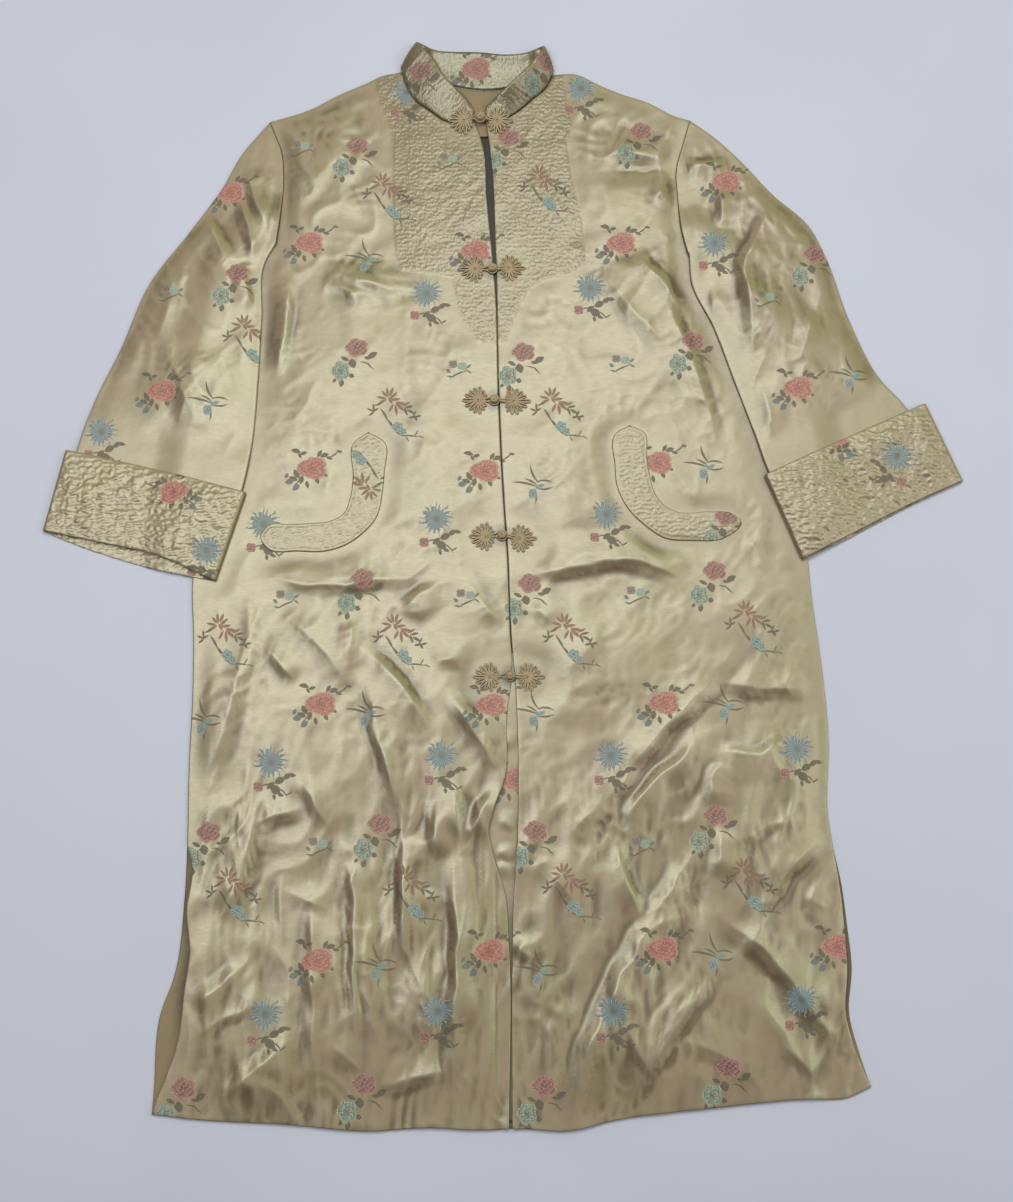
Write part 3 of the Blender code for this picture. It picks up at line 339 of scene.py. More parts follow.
# Creases too fine for the solids, in the same form
FRONT_CREASES = {
    "left": [
        ([(-6, -262), (-7, -400), (-7, -548)], 2.2, -0.7, 0),
        ([(-259, -246), (-257, -282)], 7, 1.6, 0.3),
        ([(-77, -241), (-98, -283)], 7, 1.6, -0.3),
        ([(-120, 392), (-90, 355), (-60, 330)], 8, 1.4, 0.3),
        ([(-210, 380), (-180, 420), (-150, 440)], 12, 1.5, 0.3),
        ([(-220, 150), (-190, 130), (-165, 128)], 9, 1.5, 0.3),
        ([(-75, 230), (-50, 200), (-40, 120)], 11, 1.3, 0.3),
        ([(-110, -60), (-60, -52)], 9, 1.3, 0.3),
        ([(-215, -330), (-165, -352)], 9, 1.8, 0.3),
        ([(-240, -345), (-200, -420)], 12, 2.2, -0.3),
        ([(-115, -330), (-108, -420)], 9, 1.8, 0.4),
        ([(-80, -330), (-60, -352)], 8, 1.6, 0.2),
        ([(-30, -330), (-20, -420)], 9, 1.8, -0.3),
        ([(-170, -470), (-130, -500)], 10, 2.0, 0.3),
        ([(-258, -20), (-252, -98), (-258, -150)], 10, 2.0, 0.35),
        ([(-300, -470), (-240, -440), (-205, -436)], 10, 2.4, 0.35),
        ([(-250, -500), (-215, -520), (-190, -556)], 9, 2.2, -0.3),
        ([(-128, -340), (-130, -420), (-118, -480)], 8, 2.2, 0.35),
        ([(-70, -420), (-66, -500), (-72, -548)], 8, 2.2, -0.35),
        ([(-212, -300), (-214, -360), (-206, -400)], 9, 2.2, 0.35),
        ([(-230, 130), (-205, 150), (-190, 200)], 9, 1.8, 0.3),
    ],
    "right": [
        ([(20, 120), (60, 60), (70, 20)], 14, 1.2, 0.3),
        ([(120, 80), (90, 20)], 12, 1.4, -0.3),
        ([(30, -130), (80, -100), (100, -60)], 12, 1.5, 0.3),
        ([(250, -40), (262, -120)], 9, 1.8, 0.3),
        ([(245, 20), (262, -20)], 8, 1.6, 0.3),
        ([(30, -300), (60, -330), (70, -400)], 12, 2.2, 0.3),
        ([(220, -290), (250, -270), (300, -262)], 9, 2.0, 0.3),
        ([(230, -420), (262, -455), (280, -500)], 12, 2.4, -0.3),
        ([(290, -330), (316, -350)], 9, 1.8, 0.3),
        ([(160, -470), (200, -480), (240, -510)], 13, 2.4, 0.3),
        ([(30, -440), (50, -480), (46, -540)], 11, 2.0, 0.3),
        ([(176, 340), (168, 281), (186, 220), (208, 150), (222, 90)], 13, 4.2, -0.42),
        ([(60, 330), (88, 316), (98, 300)], 8, 2.0, 0.3),
        ([(150, 120), (190, 60), (205, 10)], 10, 1.6, 0.3),
        ([(262, -170), (270, -215), (300, -235)], 9, 2.0, -0.3),
        ([(100, -420), (150, -520)], 9, 2.2, 0.35),
        ([(262, -470), (300, -510)], 9, 2.0, 0.3),
    ],
}
UNDERLAP_CREASES = [
    ([(-8, -184), (12, -190)], 7, 1.2, 0.3),
    ([(-8, -262), (14, -268)], 6, 1.4, 0.3),
    ([(-10, -292), (12, -300)], 5, 1.3, 0.3),
    ([(-8, -304), (14, -311)], 5, 1.2, -0.3),
]
# Shallow creases that the robe's weight has pressed into the back: the points, half width, height, lean
BACK_CREASES = [
    ([(-240, 180), (-160, 60), (-60, -40)], 10, 0.5, 0),
    ([(210, 190), (120, 90), (60, -60)], 10, 0.5, 0),
    ([(-200, -120), (-150, -260), (-160, -420)], 12, 0.6, 0),
    ([(-60, -200), (-30, -340), (-60, -500)], 10, 0.5, 0),
    ([(120, -160), (160, -300), (110, -480)], 12, 0.6, 0),
    ([(260, -180), (230, -320), (280, -450)], 10, 0.5, 0),
    ([(-180, 380), (-60, 340), (80, 350), (150, 400)], 9, 0.4, 0),
]

# Middles of the woven sprays, by piece: kind, then x, y of each
BODY_SPRAYS = {
    "rose spray": [
        (-204, 332), (-31, 323), (120, 331), (-196, 91), (-21, 88), (154, 97), (-182, -149), (-14, -150),
        (156, -148), (-180, -396), (-15, -387), (151, -385), (319, -383),
    ],
    "chrysanthemum": [
        (-81, 275), (88, 281), (80, 503), (-104, 499), (217, 329), (-69, 36), (102, 41), (-243, 31),
        (-62, -202), (104, -202), (-229, -208), (286, -195), (-228, -448), (-64, -445), (103, -445),
        (283, -434),
    ],
    "rose pair": [
        (-157, 434), (141, 451), (-154, 213), (17, 208), (191, 220), (-144, -28), (23, -33), (208, -20),
        (-290, -279), (-124, -271), (28, -278), (203, -263), (-306, -519), (-135, -515), (35, -517),
        (210, -500), (2, 444),
    ],
    "bamboo and plum": [
        (-121, 387), (43, 395), (-111, 153), (55, 153), (-277, -81), (-103, -81), (66, -81), (247, -68),
        (-260, -330), (-89, -328), (64, -326), (238, -321),
    ],
    "orchid": [
        (-138, 314), (36, 72), (209, 93), (-291, -166), (-130, -158), (36, -158), (223, -151), (-116, -401),
        (39, -406), (207, -392),
    ],
    "sprig": [
        (-214, 437), (-59, 423), (-48, 196), (119, 202), (-219, -43), (-39, -42), (131, -39), (-181, -287),
        (132, -287),
    ],
}
SLEEVE_SPRAYS = {
    "left": {
        "rose spray": [(-350, 171), (-288, 388)],
        "chrysanthemum": [(-410, 127)],
        "rose pair": [(-278, 292)],
        "bamboo and plum": [(-261, 230)],
        "orchid": [(-294, 158)],
        "sprig": [(-345, 277)],
    },
    "right": {
        "rose spray": [(231, 400), (298, 174)],
        "chrysanthemum": [(217, 328)],
        "rose pair": [(319, 314)],
        "orchid": [(359, 187)],
        "sprig": [(268, 268)],
    },
}
CUFF_SPRAYS = {
    "left": {"rose spray": [(-331, 65)], "chrysanthemum": [(-296, 3)]},
    "right": {"rose spray": [(335, 124)], "chrysanthemum": [(398, 100)]},
}
BAND_SPRAYS = {
    "left": {"bamboo and plum": [(-142, 78)]},
    "right": {"rose pair": [(221, 36)]},
}
CUFF_TURN = {"left": -14, "right": 20}  # the cuffs' sprays are turned by this many degrees
BAND_TURN = {"left": 180.0, "right": 0.0}  # the left band is cut with its sprays upside down
COLLAR_SPRAYS = {"rose pair": [(-91, 515), (43, 525)], "rose spray": [(-31, 526)]}
UNDERLAP_SPRAYS = {"rose spray": [(8, -223), (2, -452)]}
# Painted shade on a front beside its sleeve, as a share of a full crease's painted shade
SLEEVE_PAINTED_SHADE = {"left": 0.4, "right": 0.75}
# The woven repeat, for the sides that lie below: its width and height, and each spray's place in it
REPEAT = (172, 239)
REPEAT_SPRAYS = {
    "rose spray": (-21, 88), "chrysanthemum": (-69, 36), "rose pair": (23, -33),
    "bamboo and plum": (66, -81), "orchid": (36, 72), "sprig": (-39, -42),
}
# How far a spray reaches from its middle, and where that lies from the place in the tables
SPRAY_REACH = {
    "rose spray": (36, 3, 0), "chrysanthemum": (36, 3, -10), "rose pair": (36, 2, -10),
    "bamboo and plum": (43, 0, -6), "orchid": (30, -6, 0), "sprig": (24, 3, -3),
}

# Leaves and stems of each spray: colour, then x, y, angle, length, width and bend of each
SPRAY_LEAVES = {
    "rose spray": [
        ("leaf", [
            (-15, 17, -12, 10, 4.2, 0.4), (-7, 14.5, 18, 7, 3.2, 0), (-11, 12, -55, 6, 2.6, 0),
            (9, 14, 60, 8, 3.6, 0), (14, 12.5, 20, 9, 4.2, 0.3), (19, 9.5, -18, 7, 3, 0),
            (-14, -7, -58, 10, 5, 0), (-9, -13, -100, 9, 4.6, 0), (-17, -12, -20, 9, 4.4, 0),
            (7, -14, -62, 7, 3.8, 0), (-3, -18, -76, 8, 3.4, 0), (15, -8, -30, 6, 3, 0),
        ]),
        ("blue leaf", [(-21, -15, 12, 9, 5.4, 0), (-14, -21, 42, 9, 5.2, 0), (-24, -9, 60, 6, 3.4, 0)]),
        ("stem", [(24, 13, 38, 13, 1.5, -1.4), (29, 16.5, -12, 6, 2.6, 0), (-12, -15, -130, 12, 1.3, 1)]),
    ],
    "chrysanthemum": [
        ("leaf", [
            (6, -26, -35, 12, 7.5, 0), (1, -22, 40, 9, 5, 0), (10, -17, 28, 11, 6, 0),
            (17, -13, 38, 9, 4.6, 0),
            (22, -12, -6, 8, 3.6, 0), (5, -33, -80, 6, 3, 0), (11, -31, -20, 7, 3, 0),
        ]),
        ("stem", [(14, -28, -45, 13, 1.4, 2), (19, -30, 30, 7, 1.6, 0), (-4, -21, 12, 9, 1.4, 1)]),
    ],
    "rose pair": [
        ("leaf", [
            (19, -4, 30, 11, 5.6, 0), (14, -7, -10, 7, 3.2, 0), (-1, -13, -72, 10, 7, 0),
            (-9, -8, 155, 9, 3.6, 0),
            (-2, -26, -18, 6, 4.6, 0), (-12, -34, -98, 8, 4.6, 0), (-19, -31, -130, 6, 3, 0),
        ]),
        ("stem", [(12, -12, -18, 13, 1.3, 2), (17, -16, -42, 10, 1.2, 0), (-6, -14, 60, 9, 1.4, 0)]),
    ],
    "bamboo and plum": [
        ("bamboo", [
            (-8, 17, 100, 10, 2.6, 0), (-4, 17, 70, 10, 2.8, 0), (-2, 13, 42, 11, 2.8, 0),
            (-11, 15, 132, 9, 2.4, 0),
            (-14, 11, 168, 10, 2.6, 0), (0, 9, 8, 11, 2.8, 0), (-13, 7, 205, 10, 2.6, 0),
            (-5, 8, -60, 8, 2.4, 0),
            (6, 5, -12, 12, 3, 0), (5, 1, -42, 12, 3, 0), (1, -2, -82, 12, 2.8, 0),
            (-4, 0, -118, 10, 2.6, 0),
            (11, 4, 28, 9, 2.4, 0),
        ]),
        ("leaf", [
            (14, 1, 12, 9, 2.4, 0), (16, -4, -30, 9, 2.6, 0), (11, -4, -70, 9, 2.4, 0),
            (20, -6, 60, 7, 2, 0),
            (21, -11, -60, 7, 2.6, 0), (24, -9, 10, 6, 2.2, 0), (17, -10, 190, 6, 2.2, 0),
            (-22, 1, 96, 8, 2, 0), (-25, -2, 160, 8, 2, 0), (-20, -2, 30, 8, 2, 0), (-24, -6, 215, 7, 2, 0),
            (-17, 4, 20, 9, 1.8, 0),
        ]),
        ("stem", [
            (-10.5, -7, -60, 16, 2.2, 0.5), (-4, -17, -53, 13, 2.4, 0), (3.5, -26, -38, 14, 2.2, 0),
            (16, -29.5, -4, 18, 1.6, 1), (22, -27, 62, 8, 1.2, 0), (27, -31, -24, 7, 1.2, 0),
            (13, -33, -60, 6, 1.2, 0),
        ]),
    ],
    "orchid": [
        ("stem", [
            (-7, 11, 114, 21, 2, 2.2), (-14.5, 2, 168, 27, 2.1, -1.6), (-8.5, 4, 150, 14, 1.8, -1),
            (5, 4.5, -4, 17, 1.8, 2.6), (5.5, -4.5, 4, 17, 1.9, -1.8), (-3.5, -12, -88, 16, 1.9, 1.6),
        ]),
        ("plum", [(1, -1, 20, 8, 3.4, 0), (-3, -2, -70, 7, 2.6, 0)]),
    ],
    "sprig": [
        ("stem", [
            (1, -7, 25, 20, 1.6, 1), (12, -4.5, -37, 7, 1.4, 0), (-7, -10, -10, 8, 1.4, 0),
            (9, -1, 70, 6, 1.2, 0),
        ]),
        ("blue leaf", [(-9, -4, 140, 6, 3, 0), (12, 1, 40, 6, 2.4, 0)]),
    ],
}
# Blooms: colour, pale edge, deep middle, then x, y, half width, half height and number of lobes
SPRAY_BLOOMS = {
    "rose spray": [("rose", "rose edge", "rose heart", 2, -1, 15.5, 11.5, 3)],
    "chrysanthemum": [("bud", "rose edge", "crimson heart", -11, -23, 5.2, 5.2, 4)],
    "rose pair": [
        ("crimson", "rose edge", "crimson heart", 3, 4, 12.0, 10.0, 5),
        ("green", "green edge", "leaf", -13, -21, 9.6, 10.4, 5),
    ],
    "bamboo and plum": [
        ("plum", "green edge", "blue leaf", 3, -20, 6.0, 5.4, 5),
        ("plum", "green edge", "blue leaf", 8, -25, 4.4, 4.0, 5),
    ],
    "orchid": [("blue", "green edge", "blue leaf", -7, -9, 4.6, 5.6, 4)],
    "sprig": [
        ("blue leaf", "rose edge", "leaf", -4, 3, 4.8, 4.4, 4),
        ("green", "green edge", "green", 5, 1, 5.0, 4.4, 4),
    ],
}
KINDS = list(SPRAY_REACH)
LINING = len(KINDS) + 1  # the material slot of the lining, after the ground and the sprays
FACES_DOWN = -0.3  # a face whose normal's Z is below this takes the sprays of the lower side

# The camera looks down on the robe from above its hem side, turned from the vertical by this many degrees
CAMERA_PLACE = (0.0025, -0.3238, 1.5757)
CAMERA_TILT = 10
ROOM_TONE = "DEE1EA"
# Soft light panels, in metres: name, place, the point it looks at, width and height, and its setting
PANEL_LIGHTS = (
    ("overhead_panel", (-0.35, 0.52, 2.2), (-0.2, 0.3, 0), (2.7, 0.8), "key"),
    ("side_panel", (1.5, -0.1, 1.6), (0.1, -0.1, 0), (1.2, 1.2), "fill"),
)


def srgb(colour):
    """Linear red, green and blue of an sRGB hex colour."""
    channels = [int(colour[i : i + 2], 16) / 255 for i in (0, 2, 4)]
    return tuple(c / 12.92 if c <= 0.04045 else ((c + 0.055) / 1.055) ** 2.4 for c in channels)


def number_value(name, description, default, lowest=0.0, highest=0.1, unit="LENGTH"):
    """A property for a number, such as a length in metres."""
    return FloatProperty(
        name=name, description=description, default=default, min=lowest, max=highest, unit=unit,
    )


def colour_value(name, description, colour):
    """A property for a colour, given in sRGB hex."""
    return FloatVectorProperty(
        name=name, description=description, subtype="COLOR", size=3, min=0, max=1, default=srgb(colour),
    )


class RobeCloth(bpy.types.PropertyGroup):
    """Sizes of the cloth and its quilting."""

    wall: number_value("Cloth", "Thickness of the satin with its lining", 0.001)
    pitch: number_value("Mesh pitch", "Distance between the points of a front or sleeve", 0.003, 0.002)
    quilt_pitch: number_value("Quilted pitch", "The same in quilted cloth", 0.0014, 0.001)
    back_pitch: number_value("Back pitch", "The same for what lies below", 0.0065, 0.003)
    quilt_rise: number_value("Quilting", "Height of the padding between two rows of stitches", 0.0008)
    quilt_row: number_value("Row", "Distance between rows of stitches", 0.0044, 0.002)
    rumple: number_value("Rumple", "Height of the soft waves in the loose cloth", 0.001)


class RobeColours(bpy.types.PropertyGroup):
    """Colours of the woven cloth and the cord."""

    satin: colour_value("Satin", "The cloth where it lies flat", "A28D6C")
    satin_lit: colour_value("Satin on a slope", "Its greener tone where it tips to the light", "9C935F")
    # satin deep is the painted shade where the satin tips away and in creases, and a faint tone in the weave
    satin_deep: colour_value("Satin in a crease", "Its tone where it tips away and in creases", "56401F")
    shade: colour_value("Shaded satin", "Deep between two pieces, where no light reaches", "2E2415")
    quilted: colour_value("Quilted satin", "The warmer tone of the quilting", "77673F")
    lining: colour_value("Lining", "The plain silk inside", "98865F")
    cord: colour_value("Frog cord", "Satin cord of the looped flowers", "AE9B74")
    knot: colour_value("Knot cord", "Satin cord of the ball knots", "B5A070")
    leaf: colour_value("Leaf thread", "Grey-brown leaves", "34241A")
    blue_leaf: colour_value("Blue leaf thread", "Blue-grey leaves", "485C68")
    stem: colour_value("Stem thread", "Dark stems and blades", "3E2F22")
    rose: colour_value("Rose thread", "Salmon petals", "B4504C")
    rose_edge: colour_value("Petal edge", "Pale edges of the petals", "D0A08C")
    rose_heart: colour_value("Rose heart", "Deep red between the petals", "8A2C30")
    crimson: colour_value("Crimson thread", "Petals of the darker rose", "863040")
    crimson_heart: colour_value("Crimson heart", "Darkest red", "561A28")
    bud: colour_value("Bud thread", "The small closed buds", "8E3440")
    green: colour_value("Green thread", "Petals of the green rose", "7C9C88")
    # green edge is also the painted highlight on the satin's crests
    green_edge: colour_value("Green edge", "Pale edges of cool petals", "B2BFA8")
    blue: colour_value("Blue thread", "Rays of the chrysanthemum", "5F7F90")
    plum: colour_value("Plum thread", "Turquoise plum blossom", "5A9290")
    bamboo: colour_value("Bamboo thread", "Orange-brown bamboo leaves", "7E4A34")


class RobeFrogs(bpy.types.PropertyGroup):
    """Sizes of the cord frogs."""

    cord: number_value("Cord", "Radius of the satin cord", 0.00082, 0.0003)
    loops: IntProperty(name="Loops", description="Cord loops in a flower", default=15, min=7, max=31)
    ball: number_value("Ball knot", "Radius to the middle of the cord in the ball knot", 0.0034, 0.001)


class RobeStage(bpy.types.PropertyGroup):
    """The surface, the light and the camera."""

    floor: colour_value("Surface", "The pale surface that the robe lies on", "D6D9E2")
    key: number_value("Key light", "Power of the overhead panel", 35, 0, 1000, "POWER")
    fill: number_value("Fill light", "Power of the side panel", 10, 0, 1000, "POWER")
    sky: number_value("Room light", "Strength of the light of the room", 0.27, 0, 10, "NONE")
    lens: number_value("Lens", "Focal length", 47.92, 10, 500, "CAMERA")


def reach_along(line):
    """How far each point of a line lies from its start, along it."""
    return np.concatenate([[0], np.cumsum(np.linalg.norm(np.diff(line, axis=0), axis=1))])


def smooth_line(rows, step):
    """Points about `step` apart on a smooth curve through a table's rows."""
    rows = np.array(rows, float)
    reach = reach_along(rows)
    slopes = np.gradient(rows, reach, axis=0)
    fine = []
    for i in range(len(rows) - 1):
        span = reach[i + 1] - reach[i]
        t = np.linspace(0, 1, 24, endpoint=False)[:, None]
        fine.append(
            (2 * t**3 - 3 * t**2 + 1) * rows[i]
            + (t**3 - 2 * t**2 + t) * span * slopes[i]
            + (3 * t**2 - 2 * t**3) * rows[i + 1]
            + (t**3 - t**2) * span * slopes[i + 1]
        )
    fine = np.vstack(fine + [rows[-1:]])
    return resampled(fine, max(2, round(reach_along(fine)[-1] / step) + 1))


def resampled(line, count):
    """The same line with this many points, evenly spaced."""
    length = reach_along(line)
    places = np.linspace(0, length[-1], count)
    return np.column_stack([np.interp(places, length, column) for column in line.T])


def joined(*lines):
    """One closed outline from lines that meet at their ends."""
    return np.vstack([line[:-1] for line in lines])


def chained(*lines):
    """One open line from lines that meet at their ends."""
    return np.vstack([lines[0], *[line[1:] for line in lines[1:]]])


def left_of(run):
    """Unit vectors to the left of a line's run."""
    return np.column_stack([-run[:, 1], run[:, 0]]) / np.linalg.norm(run, axis=1)[:, None]


def in_parts(points, parts):
    """Slices of the points that keep a table of points by parts of a line small."""
    step = max(64, 1500000 // parts)
    return [slice(start, start + step) for start in range(0, len(points), step)]


def nearest_on(points, line):
    """For each point, its distance to a line, its side (+1 is the left) and its share of the length."""
    line = np.asarray(line, float)
    run = np.diff(line, axis=0)
    length = np.linalg.norm(run, axis=1)
    before = reach_along(line)
    distance, side, share = np.empty((3, len(points)))
    for part in in_parts(points, len(run)):
        reach = points[part, None] - line[None, :-1]
        t = np.clip((reach * run).sum(-1) / length**2, 0, 1)
        away = np.linalg.norm(reach - t[..., None] * run, axis=-1)
        best = away.argmin(axis=1)
        each = np.arange(len(best))
        offset = reach[each, best]
        distance[part] = away[each, best]
        side[part] = np.sign(run[best, 0] * offset[:, 1] - run[best, 1] * offset[:, 0])
        share[part] = (before[best] + t[each, best] * length[best]) / before[-1]
    return distance, side, share


def distance_to(points, *lines):
    """For each point, its distance to the nearest of some lines."""
    return np.min([nearest_on(points, line)[0] for line in lines], axis=0)


def inside(points, outline):
    """Whether each point lies in a closed outline."""
    x0, y0 = np.asarray(outline, float).T
    x1, y1 = np.roll(x0, -1), np.roll(y0, -1)
    level = np.where(y1 == y0, 1e-9, y1 - y0)
    found = np.empty(len(points), bool)
    for part in in_parts(points, len(outline)):
        x, y = points[part, :1], points[part, 1:]
        crosses = ((y0 > y) != (y1 > y)) & (x < (x1 - x0) * (y - y0) / level + x0)
        found[part] = crosses.sum(axis=1) % 2 == 1
    return found


def rising(value):
    """0 below 0, 1 above 1, and a smooth step between."""
    t = np.clip(value, 0, 1)
    return t * t * (3 - 2 * t)


def closed(outline):
    """An outline with its first point once more at its end."""
    return np.vstack([outline, outline[:1]])


def outside(points, outline, margin, reach):
    """0 in an outline and its margin, rising to 1 over `reach` outside them."""
    distance = distance_to(points, closed(outline))
    return np.where(inside(points, outline), 0, rising((distance - margin) / reach))


def wander(points, length, seed):
    """Smooth even noise from about -1 to 1, with bumps about `length` apart."""
    pick = np.random.default_rng(seed)
    angle, phase = pick.uniform(0, 2 * math.pi, (2, 9))
    rate = 2 * math.pi / length * pick.uniform(0.55, 1.5, 9)
    along = points[:, :1] * np.cos(angle) + points[:, 1:2] * np.sin(angle)
    return np.sin(along * rate + phase).sum(axis=1) / 4.2


def drifted(points):
    """Points moved a little by smooth noise, so that the creases run unevenly."""
    drift = np.column_stack([wander(points, 46, 11), wander(points, 46, 12)])
    fine = np.column_stack([wander(points, 19, 13), wander(points, 19, 14)])
    return points + 1.7 * drift + 0.25 * fine


def close_to(points, line, reach):
    """Whether each point lies in a line's box with this much round it."""
    return ((points > line.min(axis=0) - reach) & (points < line.max(axis=0) + reach)).all(axis=1)


def on_crests(points, folds):
    """Whether each point lies near the crest of a fold."""
    moved = drifted(points)
    found = np.zeros(len(points), bool)
    for line, half_width, _, _ in folds:
        line = smooth_line(line, 7)
        near = np.flatnonzero(close_to(moved, line, CREST_BAND))
        found[near] |= distance_to(moved[near], line) < min(CREST_BAND, half_width)
    return found


def fold_height(points, folds, swells=()):
    """Height of the folds and the broad swells at each point: narrow crests between almost flat flanks."""
    height = np.zeros(len(points))
    for x, y, half_width, half_length, rise in swells:
        away = ((points - [x, y]) / [half_width, half_length]) ** 2
        height += rise * np.exp(-away.sum(axis=1))
    moved = drifted(points)
    uneven = 1 + 0.18 * wander(points, 60, 15)
    for line, half_width, rise, lean in folds:
        line = smooth_line(line, 7)
        spread = CREASE_SPREAD * half_width
        lean = max(-0.55, min(0.55, CREASE_LEAN * lean))
        near = close_to(moved, line, spread * (1 + abs(lean)))
        if not near.any():
            continue
        distance, side, share = nearest_on(moved[near], line)
        # The crest is rounded over about 1 mm
        across = 1 - (np.sqrt(distance**2 + 0.8) - 0.9) / (spread * (1 + lean * side))
        across = np.clip(across, 0, 1) ** 1.35
        ends = rising(share / 0.4) * rising((1 - share) / 0.4)
        height[near] += CREASE_SHARE * rise * uneven[near] * across * ends
    return height


def loose_height(points, seed, drawn=1.0):
    """Height of loose cloth, about 1: soft waves with faint sharp creases, drawn out along Y below 1."""
    points = points * [1, drawn]
    bend = 14 * np.column_stack([wander(points, 85, seed), wander(points, 85, seed + 1)])
    waves = 0.8 * wander(points + bend, 120, seed + 2) + 0.25 * wander(points, 52, seed + 3)
    sharp = -1.1 * np.sqrt(wander(points + bend, 70, seed + 4) ** 2 + 0.0012)
    fine = -0.85 * np.sqrt(wander(points - bend, 34, seed + 5) ** 2 + 0.0015)
    crinkle = -0.34 * np.sqrt(wander(points + bend, 18, seed + 6) ** 2 + 0.003)
    busy = 0.25 + 0.75 * rising((wander(points, 100, seed + 7) + 0.5) / 0.9)
    height = 1.45 + waves + sharp + busy * (fine + crinkle)
    return (height + np.sqrt(height**2 + 0.25)) / 2


def quilt_height(points, cloth, scale=1.0, seed=21, cells=0.3):
    """Height of the quilting: wavering rows of small padded cells."""
    row, rise = cloth.quilt_row / MM * scale, cloth.quilt_rise / MM * scale
    bend = 1.15 * wander(points, 15 * scale, seed) + 0.85 * wander(points, 8.0 * scale, seed + 1)
    rows = 0.5 + 0.5 * np.cos(2 * math.pi * (points[:, 1] / row + 0.32 * bend))
    along = points[:, 0] / scale + 2.4 * wander(points, 12 * scale, seed + 2)
    breaks = 0.5 + 0.5 * np.cos(2 * math.pi * along / 6.6 + 2.0 * wander(points, 9 * scale, seed + 3))
    return rise * rows**0.7 * (1 - cells + cells * breaks)


def lattice(low, high, pitch):
    """An even field of points over a box, every second row shifted by half a step."""
    x, y = np.meshgrid(
        np.arange(low[0], high[0], pitch), np.arange(low[1], high[1], pitch * 0.866), indexing="xy",
    )
    x = x + (np.arange(len(y)) % 2)[:, None] * pitch / 2
    return np.column_stack([x.ravel(), y.ravel()])


def to_border(points, outline, reach):
    """Distance of each point to an outline, up to `reach`."""
    # Most points lie far from it, which a rough outline shows sooner
    near = distance_to(points, closed(outline[::6])) < reach + 6
    distance = np.full(len(points), float(reach))
    distance[near] = np.minimum(reach, distance_to(points[near], closed(outline)))
    return distance


def filled(outline, pitch, zones=(), rings=(), folds=()):
    """An outline's points, rows of points just inside it, and an even field, finer in zones and on folds."""
    low, high = outline.min(axis=0), outline.max(axis=0)
    kept = [outline]
    run = np.roll(outline, -1, axis=0) - np.roll(outline, 1, axis=0)
    inward = left_of(run)
    if inside(outline[:9] + inward[:9] * 0.2, outline).mean() <= 0.5:
        inward = -inward
    for step in rings:
        row = outline + inward * step
        clear = inside(row, outline) & (to_border(row, outline, 2 * step) > 0.93 * step)
        kept.append(row[clear])
    margin = max(rings, default=0) + 0.55 * pitch
    field = lattice(low, high, pitch)
    fields = [field[~on_crests(field, folds)]]
    if folds:
        field = lattice(low, high, 0.55 * pitch)
        fields.append(field[on_crests(field, folds)])
    for zone, _ in zones:
        fields = [field[~inside(field, zone)] for field in fields]
    for zone, fine in zones:
        field = lattice(np.maximum(low, zone.min(axis=0)), np.minimum(high, zone.max(axis=0)), fine)
        fields.append(field[inside(field, zone)])
    field = np.vstack(fields)
    field = field[inside(field, outline)]
    kept.append(field[to_border(field, outline, 2 * margin) > margin])
    return np.vstack(kept)


def triangles_over(points, border):
    """Triangles between points, of which the first `border` are the closed outline."""
    edges = [(i, (i + 1) % border) for i in range(border)]
    found = delaunay_2d_cdt([Vector(point) for point in points], edges, [], 1, 1e-5)
    return [[found[3][corner][0] for corner in face] for face in found[2]]


def add_surface(mesh, points, heights, border, facing_up=True):
    """One surface over an outline, as points and triangles."""
    places = np.column_stack([points, heights]) * MM
    corners = [mesh.verts.new(place) for place in places.tolist()]
    for triangle in triangles_over(points, border):
        face = [corners[i] for i in triangle]
        mesh.faces.new(face if facing_up else face[::-1])
    return corners


def slab(name, outline, face, lining, over, under):
    """A closed piece of cloth over an outline: its upper points, its lower points, and the edge between."""
    mesh = bmesh.new()
    upper = add_surface(mesh, face, over(face), len(outline))
    lower = add_surface(mesh, lining, under(lining), len(outline), facing_up=False)
    for i in range(len(outline)):
        j = (i + 1) % len(outline)
        mesh.faces.new((lower[i], lower[j], upper[j], upper[i]))
    bmesh.ops.recalc_face_normals(mesh, faces=mesh.faces)
    return piece_of(mesh, name)


def rounding(distance, radius):
    """Share of the full height near an edge that is rounded over `radius`."""
    t = np.clip(distance / radius, 0, 1)
    return np.sqrt(np.clip(1 - (1 - t) ** 2, 0, 1))


def marked(piece, name, values):
    """Stores a value for each point of a piece, or one for all, for its material."""
    mark = piece.data.attributes.new(name, "FLOAT", "POINT")
    mark.data.foreach_set("value", np.broadcast_to(values, len(mark.data)).astype(float))


def values_of(items, name, width=1, kind=float):
    """One property of all points, edges or faces of a mesh, in rows of this width."""
    values = np.empty(len(items) * width, kind)
    items.foreach_get(name, values)
    return values.reshape(-1, width) if width > 1 else values


def places_of(piece):
    """The points of a piece, in millimetres."""
    return values_of(piece.data.vertices, "co", 3) / MM


def creased(piece, depth=0.5, dip=-1):
    """Stores how deep each point lies in a crease (+) or how far it stands on a crest (-), from -1 to 1.

    `depth` is that of a full crease, in millimetres, and `dip` the least value of each point. The brocade
    paints shade from the + values and highlights from the - values, so a raised `dip` paints shade.
    """
    data = piece.data
    count = len(data.vertices)
    height = places_of(piece)[:, 2]
    a, b = values_of(data.edges, "vertices", 2, int).T
    around = np.bincount(a, minlength=count) + np.bincount(b, minlength=count)
    level = height.copy()
    # The level around a point is the mean height of its neighbours, five rings out
    for _ in range(5):
        total = np.bincount(a, level[b], count) + np.bincount(b, level[a], count)
        level = total / np.maximum(around, 1)
    marked(piece, "crease", np.clip(np.maximum((level - height) / depth, dip), -1, 1))


